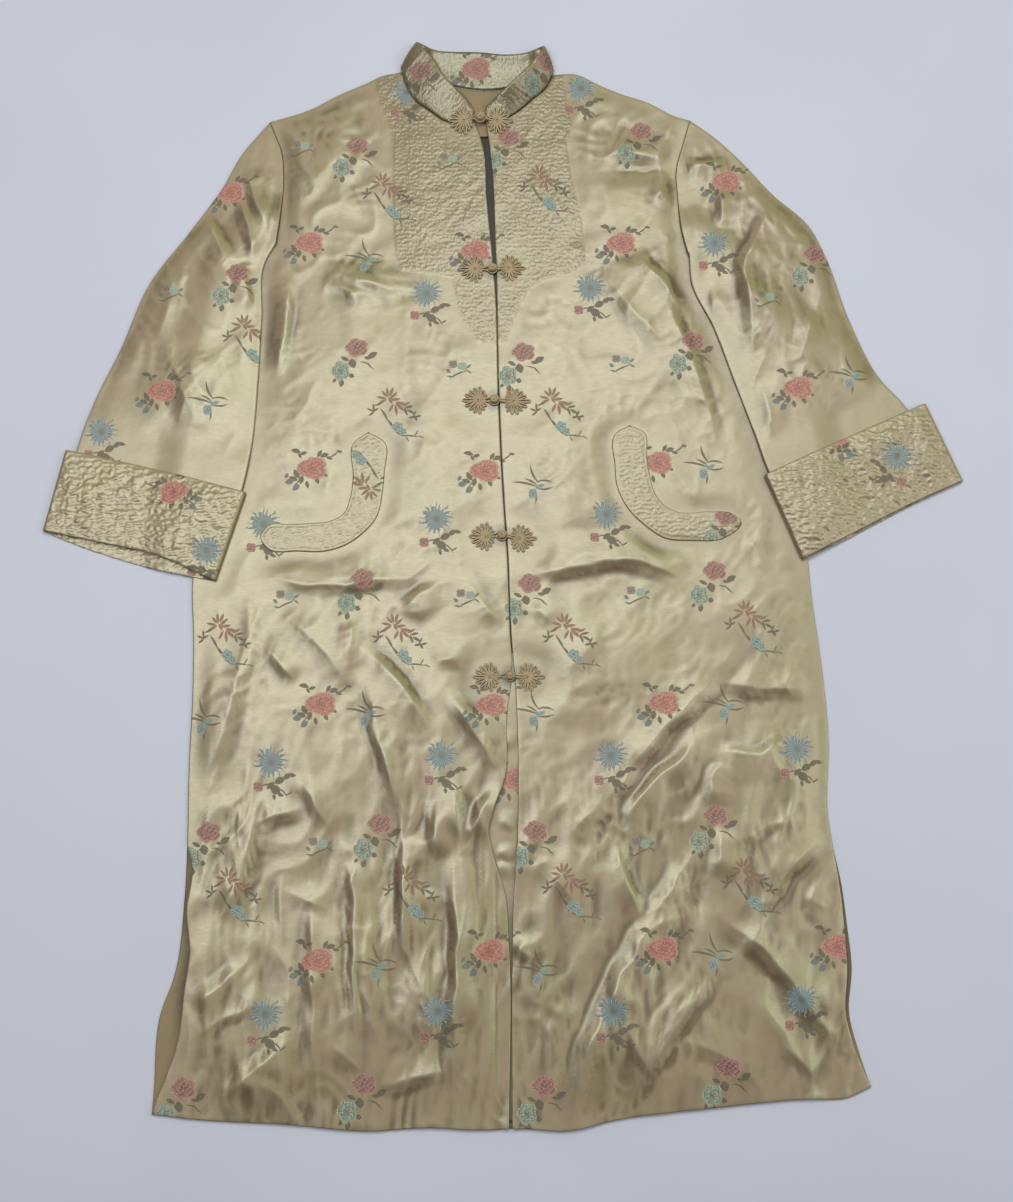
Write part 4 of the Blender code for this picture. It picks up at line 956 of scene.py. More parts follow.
def repeat_places(outline):
    """The sprays of the woven repeat over an outline's box."""
    low, high = outline.min(axis=0), outline.max(axis=0)
    places = {}
    for kind, (x, y) in REPEAT_SPRAYS.items():
        columns = range(math.floor((low[0] - x) / REPEAT[0]), math.ceil((high[0] - x) / REPEAT[0]) + 1)
        rows = range(math.floor((low[1] - y) / REPEAT[1]), math.ceil((high[1] - y) / REPEAT[1]) + 1)
        places[kind] = [(x + i * REPEAT[0], y + j * REPEAT[1]) for i in columns for j in rows]
    return places


def woven(piece, above, below, turn=0.0, mirrored=False):
    """Lays the woven sprays on a piece: each face takes the material of the spray it lies in, and the
    "weave" map holds millimetres from that spray's middle, or from the frame's middle on plain ground.

    `above` and `below` hold the sprays of the faces that look up and down, or None for plain lining, and
    `turn` is the cloth's turn in degrees.
    """
    data = piece.data
    for kind in [None, *KINDS]:
        data.materials.append(brocade("Silk satin brocade, " + (kind or "ground"), kind))
    data.materials.append(lining_silk("Plain silk lining"))
    places = places_of(piece)[:, :2]
    corner = values_of(data.loops, "vertex_index", kind=int)
    middle = values_of(data.polygons, "center", 3)[:, :2] / MM
    down = values_of(data.polygons, "normal", 3)[:, 2] < FACES_DOWN
    sizes = values_of(data.polygons, "loop_total", kind=int)
    chosen = np.zeros(len(middle), int)
    origin = np.zeros((len(middle), 2))
    nearest = np.full(len(middle), 1e9)
    for side, table in ((~down, above), (down, below)):
        if table is None:
            chosen[side] = LINING
            continue
        for kind, rows in table.items():
            reach, shift_x, shift_y = SPRAY_REACH[kind]
            for x, y in rows:
                away = np.hypot(middle[:, 0] - x - shift_x, middle[:, 1] - y - shift_y) / reach
                closer = side & (away < 1) & (away < nearest)
                nearest[closer] = away[closer]
                chosen[closer] = KINDS.index(kind) + 1
                origin[closer] = (x, y)
    local = places[corner] - np.repeat(origin, sizes, axis=0)
    local[:, 0] *= np.where(np.repeat(down, sizes), -1, 1) * (-1 if mirrored else 1)
    angle = math.radians(turn)
    turned = np.column_stack([
        local[:, 0] * math.cos(angle) + local[:, 1] * math.sin(angle),
        local[:, 1] * math.cos(angle) - local[:, 0] * math.sin(angle),
    ])
    weave = data.uv_layers.new(name="weave")
    weave.data.foreach_set("uv", turned.ravel())
    data.polygons.foreach_set("material_index", chosen)
    data.update()


def new_object(name, data):
    """A new object at the origin of the scene."""
    made = bpy.data.objects.new(name, data)
    bpy.context.scene.collection.objects.link(made)
    return made


def piece_of(mesh, name):
    """Turns a bmesh into a smooth, named object."""
    data = bpy.data.meshes.new(name)
    mesh.to_mesh(data)
    mesh.free()
    data.shade_smooth()
    return new_object(name, data)


def walled(piece, thickness, lined=True):
    """Gives a tube of cloth its thickness, inwards from its face, with the lining inside."""
    wall = piece.modifiers.new("Cloth", "SOLIDIFY")
    wall.thickness = thickness
    wall.offset = -1
    wall.material_offset = LINING if lined else 0
    wall.material_offset_rim = 0


def handed_over(piece, solid):
    """Puts a piece on the root body and hides the solid that it stands for."""
    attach(piece, "root")
    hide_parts(solid)


class Nodes:
    """The nodes of one new material. A colour is a socket, the name of a tone, or linear light."""

    def __init__(self, name):
        self.material = bpy.data.materials.new(name)
        self.material.use_nodes = True
        self.tree = self.material.node_tree
        self.shader = self.tree.nodes["Principled BSDF"]
        self.place = self.add("TexCoord").outputs["Object"]
        values = bpy.context.scene.robe_colours
        keys = RobeColours.__annotations__
        self.tones = {key.replace("_", " "): tuple(getattr(values, key)) for key in keys}

    def feed(self, made, inputs):
        """Links or sets a node's inputs."""
        for socket, value in inputs.items():
            if isinstance(value, bpy.types.NodeSocket):
                self.tree.links.new(value, made.inputs[socket])
            else:
                made.inputs[socket].default_value = value
        return made

    def add(self, kind, inputs=None, **settings):
        """Adds a shader node with its settings and inputs."""
        made = self.tree.nodes.new("ShaderNode" + kind)
        for name, value in settings.items():
            setattr(made, name, value)
        return self.feed(made, inputs or {})

    def maths(self, operation, *values):
        """The result of a Math node."""
        return self.add("Math", dict(enumerate(values)), operation=operation).outputs[0]

    def times_add(self, value, factor, offset):
        """A value times a factor, plus an offset."""
        return self.maths("MULTIPLY_ADD", value, factor, offset)

    def wave(self, value):
        """The sine of a value."""
        return self.maths("SINE", value)

    def mix(self, share, *colours):
        """Mixes two colours."""
        first, second = [self.tones[value] if isinstance(value, str) else value for value in colours]
        first, second = [(*value, 1) if isinstance(value, tuple) else value for value in (first, second)]
        return self.add("Mix", {0: share, 6: first, 7: second}, data_type="RGBA").outputs[2]

    def span(self, value, low, high, least=0.0, most=1.0):
        """Maps a value from one range to another, clamped."""
        return self.add("MapRange", {0: value, 1: low, 2: high, 3: least, 4: most}).outputs[0]

    def tint(self, colour, tone, value, low, high, most=1.0, least=0.0):
        """Mixes a tone into a colour, by where a value lies between two others."""
        return self.mix(self.span(value, low, high, least, most), colour, tone)

    def mapped(self, place, scale, move=(0, 0, 0), turn=0.0, kind="POINT"):
        """A place moved, turned about Z by radians and scaled, or the other way round for TEXTURE."""
        return self.add(
            "Mapping", {0: place, 1: move, 2: (0, 0, turn), 3: scale}, vector_type=kind,
        ).outputs[0]

    def noise(self, place, scale, detail=2.0, rough=0.5, dimensions="3D"):
        """Noise from 0 to 1, mostly near its middle."""
        return self.add(
            "TexNoise", {0: place, 2: scale, 3: detail, 4: rough}, noise_dimensions=dimensions,
        ).outputs[0]

    def mark(self, name):
        """A value that is stored at the points of the piece."""
        return self.add("Attribute", attribute_name=name).outputs["Fac"]

    def polar(self, place):
        """The angle and the distance of a place from its origin."""
        parts = self.add("SeparateXYZ", {0: place}).outputs
        radius = self.add("VectorMath", {0: place}, operation="LENGTH").outputs[1]
        return self.maths("ARCTAN2", parts[1], parts[0]), radius

    def finish(self, colour, rough, height=None, strength=1.0, distance=0.001, **values):
        """Feeds the shader, with a bump from a height, and gives the material."""
        inputs = {name.replace("_", " "): value for name, value in values.items()}
        if height is not None:
            bump = self.add("Bump", {"Strength": strength, "Distance": distance, "Height": height})
            inputs["Normal"] = bump.outputs[0]
        self.feed(self.shader, {"Base Color": colour, "Roughness": rough, **inputs})
        return self.material


def leaf_mask(net, place, rows):
    """1 inside any of a row of pointed leaves or tapered blades."""
    lowest = None
    for x, y, angle, length, width, bend in rows:
        local = net.mapped(place, (length / 2, width / 2, 1), (x, y, 0), math.radians(angle), "TEXTURE")
        along, across = net.add("SeparateXYZ", {0: local}).outputs[:2]
        square = net.maths("MULTIPLY", along, along)
        if bend:
            across = net.times_add(square, float(bend), across)
        field = net.maths("ADD", square, net.maths("ABSOLUTE", across))
        lowest = field if lowest is None else net.maths("MINIMUM", lowest, field)
    return net.span(lowest, 1.25, 1.0)


def bloom_colours(net, place, row, ground):
    """Lays a bloom of overlapping petals, pale at their edges and deep in the middle."""
    body, edge, heart, x, y, half_width, half_height, lobes = row
    local = net.mapped(place, (half_width, half_height, 1), (x, y, 0), kind="TEXTURE")
    angle, radius = net.polar(local)
    lobe = net.maths("ABSOLUTE", net.wave(net.maths("MULTIPLY", angle, lobes / 2)))
    frayed = net.noise(place, 0.55, dimensions="2D")
    reach = net.times_add(frayed, 0.3, net.maths("SUBTRACT", net.times_add(lobe, 0.2, 0.82), 0.13))
    share = net.maths("DIVIDE", radius, reach)
    petals = net.add(
        "TexVoronoi", {0: local, 2: 2.6, 8: 0.9}, voronoi_dimensions="2D", feature="DISTANCE_TO_EDGE",
    ).outputs[0]
    flecks = net.noise(place, 0.75, dimensions="2D")
    curl = net.wave(net.times_add(share, 11.0, net.maths("MULTIPLY", angle, 2.0)))
    colour = net.tint(edge, body, petals, 0.0, 0.08, least=0.1)
    for tone, value, low, high, most in (
        (heart, curl, 0.1, 0.9, 0.6), (heart, share, 0.4, 0.1, 0.8), (heart, flecks, 0.47, 0.36, 0.7),
        (edge, flecks, 0.55, 0.68, 0.8), (edge, share, 0.84, 0.98, 0.45),
    ):
        colour = net.tint(colour, tone, value, low, high, most)
    mask = net.span(share, 1.04, 0.96)
    return net.mix(mask, ground, colour), mask


def ray_colours(net, place, ground):
    """Lays the spiky chrysanthemum: two rings of narrow rays round a dark middle."""
    local = net.mapped(place, (16.5, 17.5, 1), (1, 1, 0), kind="TEXTURE")
    angle, radius = net.polar(local)
    frayed = net.noise(local, 2.6, dimensions="2D")
    bent = net.times_add(frayed, 0.5, angle)
    gaps = net.maths("ABSOLUTE", net.wave(net.maths("MULTIPLY", bent, 8.5)))
    reach = net.times_add(gaps, -0.45, net.times_add(frayed, 0.6, 0.76))
    stripe = net.wave(net.maths("MULTIPLY", bent, 34.0))
    streak = net.wave(net.times_add(bent, 23.0, net.maths("MULTIPLY", radius, 9.0)))
    colour = net.tint("blue", "blue leaf", stripe, -0.5, 0.7, 0.9)
    colour = net.tint(colour, "green edge", streak, 0.5, 1.0, 0.8)
    colour = net.tint(colour, "leaf", radius, 0.3, 0.1, 0.5)
    mask = net.span(net.maths("DIVIDE", radius, reach), 1.06, 0.94)
    return net.mix(mask, ground, colour), mask


def spray_colours(net, kind, ground):
    """Lays a woven spray over the ground, and says where its threads lie."""
    local = net.add("UVMap", uv_map="weave").outputs[0]
    colour = ground
    masks = []
    if kind == "chrysanthemum":
        colour, mask = ray_colours(net, local, colour)
        masks.append(mask)
    for thread, rows in SPRAY_LEAVES[kind]:
        mask = leaf_mask(net, local, rows)
        veins = net.noise(local, 0.8, 1.0, dimensions="2D")
        colour = net.mix(mask, colour, net.tint(thread, "quilted", veins, 0.45, 0.68, 0.4))
        masks.append(mask)
    for row in SPRAY_BLOOMS[kind]:
        colour, mask = bloom_colours(net, local, row, colour)
        masks.append(mask)
    threads = masks[0]
    for mask in masks[1:]:
        threads = net.maths("MAXIMUM", threads, mask)
    # Picks of the woven wefts, drawn 0.8 mm apart, where the ground shows through
    picks = net.noise(local, 1.25, 1.0, dimensions="2D")
    return net.tint(colour, ground, picks, 0.45, 0.72, 0.5, 0.03), threads


def made_once(make):
    """Lets a function give the material of a name again if it was made before."""
    def made(name, *values):
        return bpy.data.materials.get(name) or make(name, *values)
    return made


@made_once
def brocade(name, kind):
    """Silk satin brocade: warp satin with sprays woven in coloured wefts, or plain ground for None.

    The satin is painted greener where it tips up and to the right, a painted sheen, and painted brown
    where it tips the other way or where two slopes meet, a painted shade. The wefts of a spray are flatter
    and more matt.
    """
    net = Nodes(name)
    crease, quilted = net.mark("crease"), net.mark("quilted")
    # Painted sheen and shade: greener where the normal tips towards +X and +Y, browner where it tips away
    tip = net.add(
        "VectorMath", {0: net.add("NewGeometry").outputs["Normal"], 1: (0.6, 0.8, 0)},
        operation="DOT_PRODUCT",
    ).outputs[1]
    # Broad patches of tone, about 120 mm apart, as worn satin has
    patches = net.noise(net.place, 9.0)
    lit = net.maths("ADD", net.span(tip, 0.0, 0.3), net.span(patches, 0.45, 0.7, 0.0, 0.4))
    colour = net.mix(net.add("Clamp", {0: lit}).outputs[0], "satin", "satin lit")
    colour = net.tint(colour, "satin deep", tip, -0.02, -0.25, 0.65)
    colour = net.mix(net.maths("MULTIPLY", quilted, 0.5), colour, "quilted")
    # Painted shade in creases, fainter on quilting, whose stitched dips are shallow
    painted_crease_shade = net.maths(
        "MULTIPLY", net.span(crease, 0.04, 0.7, 0.0, 0.75), net.span(quilted, 0.0, 0.4, 1.0, 0.4),
    )
    colour = net.mix(painted_crease_shade, colour, "satin deep")
    # Painted highlight: crests are lightened towards the pale green edge tone
    colour = net.tint(colour, "green edge", crease, -0.05, -0.9, 0.2)
    # Floats of the satin, drawn 0.9 mm wide so that they just show
    floats = net.noise(net.mapped(net.place, (140.0, 1100.0, 300.0)), 1.0)
    colour = net.tint(colour, "satin deep", floats, 0.3, 0.8, 0.12)
    rough = net.span(floats, 0.3, 0.7, 0.33, 0.4)
    rumple = net.noise(net.place, 55.0, rough=0.4)
    pucker = net.noise(net.mapped(net.place, (420.0, 260.0, 300.0)), 1.0, 1.5)
    height = net.times_add(floats, 0.02, net.maths("MULTIPLY", rumple, 0.35))
    height = net.times_add(net.maths("MULTIPLY", pucker, quilted), 0.4, height)
    if kind:
        colour, threads = spray_colours(net, kind, colour)
        rough = net.add("Mix", {0: threads, 2: rough, 3: 0.65}, data_type="FLOAT").outputs[0]
    # Painted shade where a piece stores it in its "shade" mark
    colour = net.mix(net.mark("shade"), colour, "shade")
    return net.finish(
        colour, rough, height, IOR=1.72, Specular_IOR_Level=1.0, Specular_Tint=(*srgb("FBFBE2"), 1),
        Sheen_Weight=0.1, Sheen_Roughness=0.35, Sheen_Tint=(*srgb("E9E2C4"), 1),
    )


@made_once
def lining_silk(name):
    """Plain woven silk lining: the same champagne tone, thinner and duller than the satin."""
    net = Nodes(name)
    weave = net.noise(net.mapped(net.place, (900.0, 900.0, 900.0)), 1.0)
    colour = net.tint("lining", "satin deep", weave, 0.3, 0.8, 0.25)
    # Painted shade where a piece stores it in its "shade" mark
    colour = net.mix(net.mark("shade"), colour, "shade")
    return net.finish(colour, net.span(weave, 0.3, 0.7, 0.45, 0.55), weave, 0.5, 0.0002)


@made_once
def satin_cord(name, tone):
    """Satin bias tube over a cotton core: small slanting wrinkles, a soft gloss, and painted shade under and
    between cords.
    """
    net = Nodes(name)
    # Wrinkles of the bias cut, 0.7 mm apart
    wrinkle = net.noise(net.mapped(net.place, (1400.0, 500.0, 900.0), turn=0.7), 1.0)
    grime = net.noise(net.place, 160.0)
    # Painted shade: ambient occlusion darkens the colour under and between the cords
    occlusion_shade = net.add("AmbientOcclusion", {1: 0.003}, samples=4).outputs["AO"]
    dark = tuple(c * 0.3 for c in net.tones[tone])
    light = tuple(min(1, c * 1.35) for c in net.tones[tone])
    colour = net.tint(tone, light, wrinkle, 0.35, 0.75)
    colour = net.tint(colour, dark, grime, 0.5, 0.75, 0.5)
    colour = net.tint(colour, dark, occlusion_shade, 0.85, 0.3, 0.85)
    return net.finish(colour, net.span(wrinkle, 0.3, 0.7, 0.42, 0.55), wrinkle, 0.8, 0.0003, Sheen_Weight=0.2)


def matt_surface(tone):
    """Matt painted board: an even, slightly cool white with a faint mottle."""
    net = Nodes("Matt painted board")
    colour = net.tint(tone, tuple(c * 0.965 for c in tone), net.noise(net.place, 4.0), 0.3, 0.7)
    return net.finish(colour, 0.8, Specular_IOR_Level=0.2)


def neckline(stretch):
    """The panel edge beside a stretch of the collar's seam, a little clear of it."""
    rows = np.array([row[1:3] for row in COLLAR if row[0] == stretch], float)
    if stretch == "back":
        return rows - [0, BACK_NECK_CLEAR]
    away = rows - NECK_MIDDLE
    return rows + away / np.linalg.norm(away, axis=1)[:, None] * FRONT_NECK_CLEAR


def lines_of(side, step, *tables, back=False):
    """A smooth line through one side's rows of each table, or back along each."""
    return [smooth_line(table[side][:: -1 if back else 1], step) for table in tables]


def front_outline(side, step):
    """One front: hem, opening, neckline, shoulder, armhole and side."""
    neck = neckline(side)[:: INWARD[side]]
    neck[0] = OPENING[side][-1]
    return joined(
        *lines_of(side, step, HEM, OPENING), smooth_line(neck, step),
        smooth_line([neck[-1], *SHOULDER[side]], step),
        *lines_of(side, step, ARMHOLE, UNDER_SLEEVE, SIDE_SEAM, FRONT_SLIT),
    )


def back_outline(step):
    """The back: up the left side, over the shoulders and the neckline, and down the right side."""
    neck = neckline("back")
    return joined(
        *lines_of("left", step, HEM, BACK_SLIT, SIDE_SEAM, UNDER_SLEEVE, ARMHOLE, back=True),
        smooth_line([*SHOULDER["left"][::-1], neck[0]], step), smooth_line(neck, step),
        smooth_line([neck[-1], *SHOULDER["right"]], step),
        *lines_of("right", step, ARMHOLE, UNDER_SLEEVE, SIDE_SEAM, BACK_SLIT, HEM),
        np.array([HEM["right"][-1], HEM["left"][-1]], float),
    )


def from_frogs(points, parts=(0, 2, 4)):
    """Distance to the nearest frog, from its left flower, its knot and its right flower as asked."""
    middles = np.array([row[i : i + 2] for row in FROGS for i in parts], float)
    return np.linalg.norm(points[:, None] - middles[None], axis=-1).min(axis=1)


def far_from_frogs(points, reach):
    """0 under the frogs, rising to 1 around them."""
    return rising((from_frogs(points) - reach) / 26)


def front_under(side, cloth):
    """The underside of a front: on the back, up over the underlap, and raised by its folds."""
    sewn = chained(*lines_of(side, 20, SHOULDER, ARMHOLE, UNDER_SLEEVE, SIDE_SEAM))
    band = smooth_line(POCKET_BAND[side] + POCKET_BAND[side][:1], 8)[:-1]
    middle = smooth_line(UNDERLAP, 40)
    sleeve = joined(
        *lines_of(side, 17, SLEEVE_OUTER),
        np.array([SLEEVE_OUTER[side][-1], SLEEVE_INNER[side][-1]], float),
        *lines_of(side, 17, SLEEVE_INNER, back=True),
        np.array([SLEEVE_INNER[side][0], SLEEVE_OUTER[side][0]], float),
    )
    cuff = np.array([*CUFF_TOP[side], *CUFF_END_BELOW[side][::-1]], float)
    folds = FRONT_FOLDS[side] + FRONT_CREASES[side]
    yoke = np.array(YOKE[side], float)

    def height(points):
        from_underlap = distance_to(points, middle) - UNDERLAP_HALF
        step = 1 - rising((from_underlap - UNDERLAP_SETTLE) / CLIMB)
        hold = rising(distance_to(points, sewn) / SEAM_CALM)
        for pressing, calm in ((sleeve, SEAM_CALM), (cuff, SEAM_CALM), (band, BAND_CALM)):
            hold = hold * outside(points, pressing, PRESSED, calm)
        hold = hold * far_from_frogs(points, FROG_CALM)
        # The lower half is looser, and the quilted yoke stiffer
        low = rising((-40 - points[:, 1]) / 240)
        high = rising((points[:, 1] - 220) / 120)
        loose = (0.6 + 0.9 * low + 0.35 * high) * (0.4 + 0.6 * outside(points, yoke, 0, 22))
        rumple = loose * ((1 - low) * loose_height(points, 31) + low * loose_height(points, 31, 0.5))
        raised = fold_height(points, folds, FRONT_SWELLS[side]) + rumple * cloth.rumple / MM
        return FRONT_Z + (OVER_UNDERLAP_Z - FRONT_Z) * step + hold * np.maximum(raised, 0)

    return height


def climbed(points, edge, side):
    """How far a layer has climbed over an edge: 1 on that side (+1 is the left) and close before it."""
    distance, at_side, _ = nearest_on(points, edge)
    return np.where(at_side == side, 1, 1 - rising((distance - SETTLE) / CLIMB))


def resting_height(side):
    """The surface that a sleeve lies on: the table, then up over the side of the front."""
    edge = chained(*lines_of(side, 10, UNDER_SLEEVE, SIDE_SEAM))

    def height(points):
        return OVER_BODY_Z * climbed(points, edge, INWARD[side])

    return height


class ROBE_OT_back(bpy.types.Operator):
    """Makes the back, cut in one, with the brocade downwards and the lining up"""

    bl_idname = "robe.back"
    bl_label = "Back"

    def execute(self, context):
        cloth = context.scene.robe_cloth
        outline = back_outline(5.0)
        points = filled(outline, cloth.back_pitch / MM, rings=(1.5,))

        def under(points):
            edge = rising(distance_to(points, closed(outline)) / 15)
            return fold_height(points, BACK_CREASES) * edge

        def over(points):
            return under(points) + cloth.wall / MM

        piece = slab("brocade_back", outline, points, points, over, under)
        creased(piece)
        # Painted shade on the lining that shows in the side slits, darkest beside the front's edge
        places = places_of(piece)[:, :2]
        away = distance_to(places, *[smooth_line(FRONT_SLIT[side], 6) for side in SIDES])
        marked(piece, "shade", 0.6 * (1 - rising((away - 2) / 9)) * rising((places[:, 1] + 490) / 60))
        woven(piece, None, repeat_places(outline))
        handed_over(piece, "back")
        return {"FINISHED"}


class ROBE_OT_fronts(bpy.types.Operator):
    """Makes the two fronts, each with its folds and its quilted yoke"""

    bl_idname = "robe.fronts"
    bl_label = "Fronts"

    def execute(self, context):
        cloth = context.scene.robe_cloth
        for side in SIDES:
            outline = front_outline(side, 3.0)
            yoke = np.array(YOKE[side], float)
            zones = [(yoke, cloth.quilt_pitch / MM)]
            if side == "left":
                # The stitched line of the facing, beside the opening
                zones.append((np.array([(-10, -260), (-3, -260), (-3, -549), (-10, -549)], float), 1.2))
            folds = FRONT_FOLDS[side] + FRONT_CREASES[side]
            face = filled(outline, cloth.pitch / MM, zones, (0.5, 1.3), folds)
            lining = filled(outline, cloth.back_pitch / MM, rings=(1.5,))
            base = front_under(side, cloth)
            edge = closed(yoke)

            def quilted(points):
                kept = inside(points, yoke) * (0.35 + 0.65 * far_from_frogs(points, 8))
                return kept * rising(distance_to(points, edge) / 4)

            def under(points):
                return base(points) + 0.2

            def over(points):
                fall = EDGE_FALL * (1 - rounding(to_border(points, outline, 3), EDGE_ROUND))
                quilt = 0.5 * quilted(points) * quilt_height(points, cloth, cells=0.6)
                return base(points) + WALL - fall + quilt

            piece = slab("brocade_front_" + side, outline, face, lining, over, under)
            places = places_of(piece)[:, :2]
            # Painted shade on the front beside its sleeve: its crease value is raised there, so the brocade
            # paints it browner
            under_arm = smooth_line(ARMHOLE[side][-3:] + SLEEVE_INNER[side][1:], 8)
            beside, _, share = nearest_on(places, under_arm)
            dip = (1 - rising(beside / 20)) * rising(share / 0.2) * (0.8 + 0.2 * wander(places, 40, 51))
            creased(piece, dip=np.where(beside < 20, SLEEVE_PAINTED_SHADE[side] * dip, -1))
            marked(piece, "quilted", quilted(places))
            # Painted shadow on the front under each frog's flowers
            marked(piece, "shade", 0.75 * (1 - rising((from_frogs(places, (0, 2)) - 8) / 6)))
            woven(piece, BODY_SPRAYS, None)
            handed_over(piece, "front_" + side)
        return {"FINISHED"}


class ROBE_OT_underlap(bpy.types.Operator):
    """Makes the strip that shows in the opening, behind the frogs"""

    bl_idname = "robe.underlap"
    bl_label = "Underlap"

    def execute(self, context):
        middle = smooth_line(UNDERLAP, 4)
        across = left_of(np.gradient(middle, axis=0)) * UNDERLAP_HALF
        outline = np.vstack([middle + across, (middle - across)[::-1]])

        def over(points):
            # Its creases show below the last frog, where the fronts part
            shown = (points[:, 1] < UNDERLAP_SHOWN[0]) & (points[:, 1] > UNDERLAP_SHOWN[1])
            visible = rising((15 - distance_to(points, middle)) / 6) * shown
            return FRONT_Z + WALL - 0.1 + visible * fold_height(points, UNDERLAP_CREASES) * 1.4

        def under(points):
            return np.full(len(points), FRONT_Z + 0.05)

        piece = slab("brocade_underlap", outline, filled(outline, 3.0), outline, over, under)
        creased(piece)
        # Painted shade: above the last frog it is painted dark, so it shows only as a dark line between the
        # fronts; it is half as dark below about y -350
        y = places_of(piece)[:, 1]
        marked(piece, "shade", np.maximum(rising((y + 130) / 30), rising((-330 - y) / 40) * 0.5))
        woven(piece, UNDERLAP_SPRAYS, None)
        # There it takes the duller plain lining, so that the painted shade stays dark
        for face in piece.data.polygons:
            if face.center.y > UNDERLAP_PLAIN * MM:
                face.material_index = LINING
        handed_over(piece, "underlap")
        return {"FINISHED"}


def flat_tube(name, upper_lines, lower_lines, upper, lower, upper_points, lower_points):
    """A cloth tube pressed flat: its first and third lines are open mouths, the others folded sides."""
    mesh = bmesh.new()
    for lines, height, points, up in (
        (upper_lines, upper, upper_points, True), (lower_lines, lower, lower_points, False),
    ):
        add_surface(mesh, points, height(points), len(joined(*lines)), facing_up=up)
    bmesh.ops.remove_doubles(mesh, verts=mesh.verts, dist=2e-6)
    return piece_of(mesh, name)


class ROBE_OT_sleeves(bpy.types.Operator):
    """Makes the two sleeves, each a tube from one piece that lies flat over the side of the body"""

    bl_idname = "robe.sleeves"
    bl_label = "Sleeves"

    def execute(self, context):
        cloth = context.scene.robe_cloth
        for side in SIDES:
            rest = resting_height(side)
            cuff_edge = smooth_line(CUFF_TOP[side], 10)
            clear = [-SLEEVE_CLEAR * INWARD[side], 0]
            root = smooth_line(np.array(ARMHOLE[side][::-1], float) + clear, SLEEVE_STEP)
            outer = smooth_line([root[-1], *SLEEVE_OUTER[side][1:]], SLEEVE_STEP)
            inner = smooth_line([*SLEEVE_INNER[side][:0:-1], root[0]], SLEEVE_STEP)
            end = smooth_line([outer[-1], inner[0]], SLEEVE_STEP)
            lines = [root, outer, end, inner]
            outline = joined(*lines)

            def cuff_share(points):
                return climbed(points, cuff_edge, -INWARD[side])

            def middle(points):
                return rest(points) + (WALL + CUFF_EASE) * cuff_share(points) + SLEEVE_HEIGHT / 2

            def lower(points):
                away = distance_to(points, outer, inner)
                return middle(points) - SLEEVE_HEIGHT / 2 * rounding(away, SLEEVE_ROUND)

            def upper(points):
                away = distance_to(points, outer, inner)
                free = rising((away - 0.5) / 20) * rising(distance_to(points, root) / 16)
                free = free * (1 - cuff_share(points))
                loft = fold_height(points, SLEEVE_FOLDS[side], SLEEVE_SWELLS[side])
                loft = loft + loose_height(points, 41, 0.7) * cloth.rumple / MM
                rise = SLEEVE_HEIGHT / 2 * rounding(away, SLEEVE_ROUND)
                return middle(points) + rise + free * np.maximum(loft, 0)

            piece = flat_tube(
                "brocade_sleeve_" + side, lines, lines, upper, lower,
                filled(outline, cloth.pitch / MM * 0.8, (), (0.3, 0.9, 1.7), SLEEVE_FOLDS[side]),
                filled(outline, cloth.back_pitch / MM, rings=(0.3, 0.9, 1.7)),
            )
            creased(piece)
            woven(piece, SLEEVE_SPRAYS[side], repeat_places(outline))
            walled(piece, cloth.wall * 0.9)
            handed_over(piece, "sleeve_" + side)
        return {"FINISHED"}


class ROBE_OT_cuffs(bpy.types.Operator):
    """Makes the two turned-back cuffs, each a quilted ring round the end of its sleeve"""

    bl_idname = "robe.cuffs"
    bl_label = "Cuffs"

    def execute(self, context):
        cloth = context.scene.robe_cloth
        for side in SIDES:
            rest = resting_height(side)
            total = WALL + SLEEVE_HEIGHT + 2 * CUFF_EASE + QUILTED_WALL
            top = smooth_line(CUFF_TOP[side], CUFF_STEP)
            ends = [smooth_line(rows[side], CUFF_STEP) for rows in (CUFF_END, CUFF_END_BELOW)]
            ends = [resampled(line, len(ends[0])) for line in ends]
            inner = smooth_line([CUFF_TOP[side][-1], CUFF_END[side][-1]], CUFF_STEP)
            outer = smooth_line([CUFF_END[side][0], CUFF_TOP[side][0]], CUFF_STEP)
            upper_lines, lower_lines = [[top, inner, end[::-1], outer] for end in ends]
            outline = joined(*upper_lines)
            mouths = closed(outline)

            def lower(points):
                away = distance_to(points, outer, inner)
                quilt = quilt_height(points, cloth, 1.25, 24, 0.6) * rising(away / 4)
                return rest(points) + total / 2 * (1 - rounding(away, CUFF_ROUND)) + 0.8 * quilt

            def upper(points):
                away = distance_to(points, outer, inner)
                from_mouth = distance_to(points, mouths)
                swell = 1.2 * loose_height(points, 52) * rising(away / 16) * rising(from_mouth / 20)
                quilt = quilt_height(points, cloth, 1.25, 23, 0.6) * rising(from_mouth / 4)
                fall = 0.5 * (1 - rounding(from_mouth, 1.6)) * (away > 1e-6)
                return rest(points) + total / 2 * (1 + rounding(away, CUFF_ROUND)) + quilt + swell - fall

            below = joined(*lower_lines)
            strip = np.vstack([ends[0] + [0, 2], ends[1][::-1] - [0, 1]])
            piece = flat_tube(
                "brocade_cuff_" + side, upper_lines, lower_lines, upper, lower,
                filled(outline, cloth.quilt_pitch / MM * 1.1, rings=(0.4, 1.0, 1.9)),
                filled(below, 4.0, [(strip, cloth.quilt_pitch / MM * 1.1)], (0.4, 1.0, 1.9)),
            )
            creased(piece, 3.0)
            marked(piece, "quilted", 0.15)
            woven(piece, CUFF_SPRAYS[side], CUFF_SPRAYS[side], CUFF_TURN[side], mirrored=True)
            walled(piece, cloth.wall, lined=False)
            handed_over(piece, "cuff_" + side)
        return {"FINISHED"}


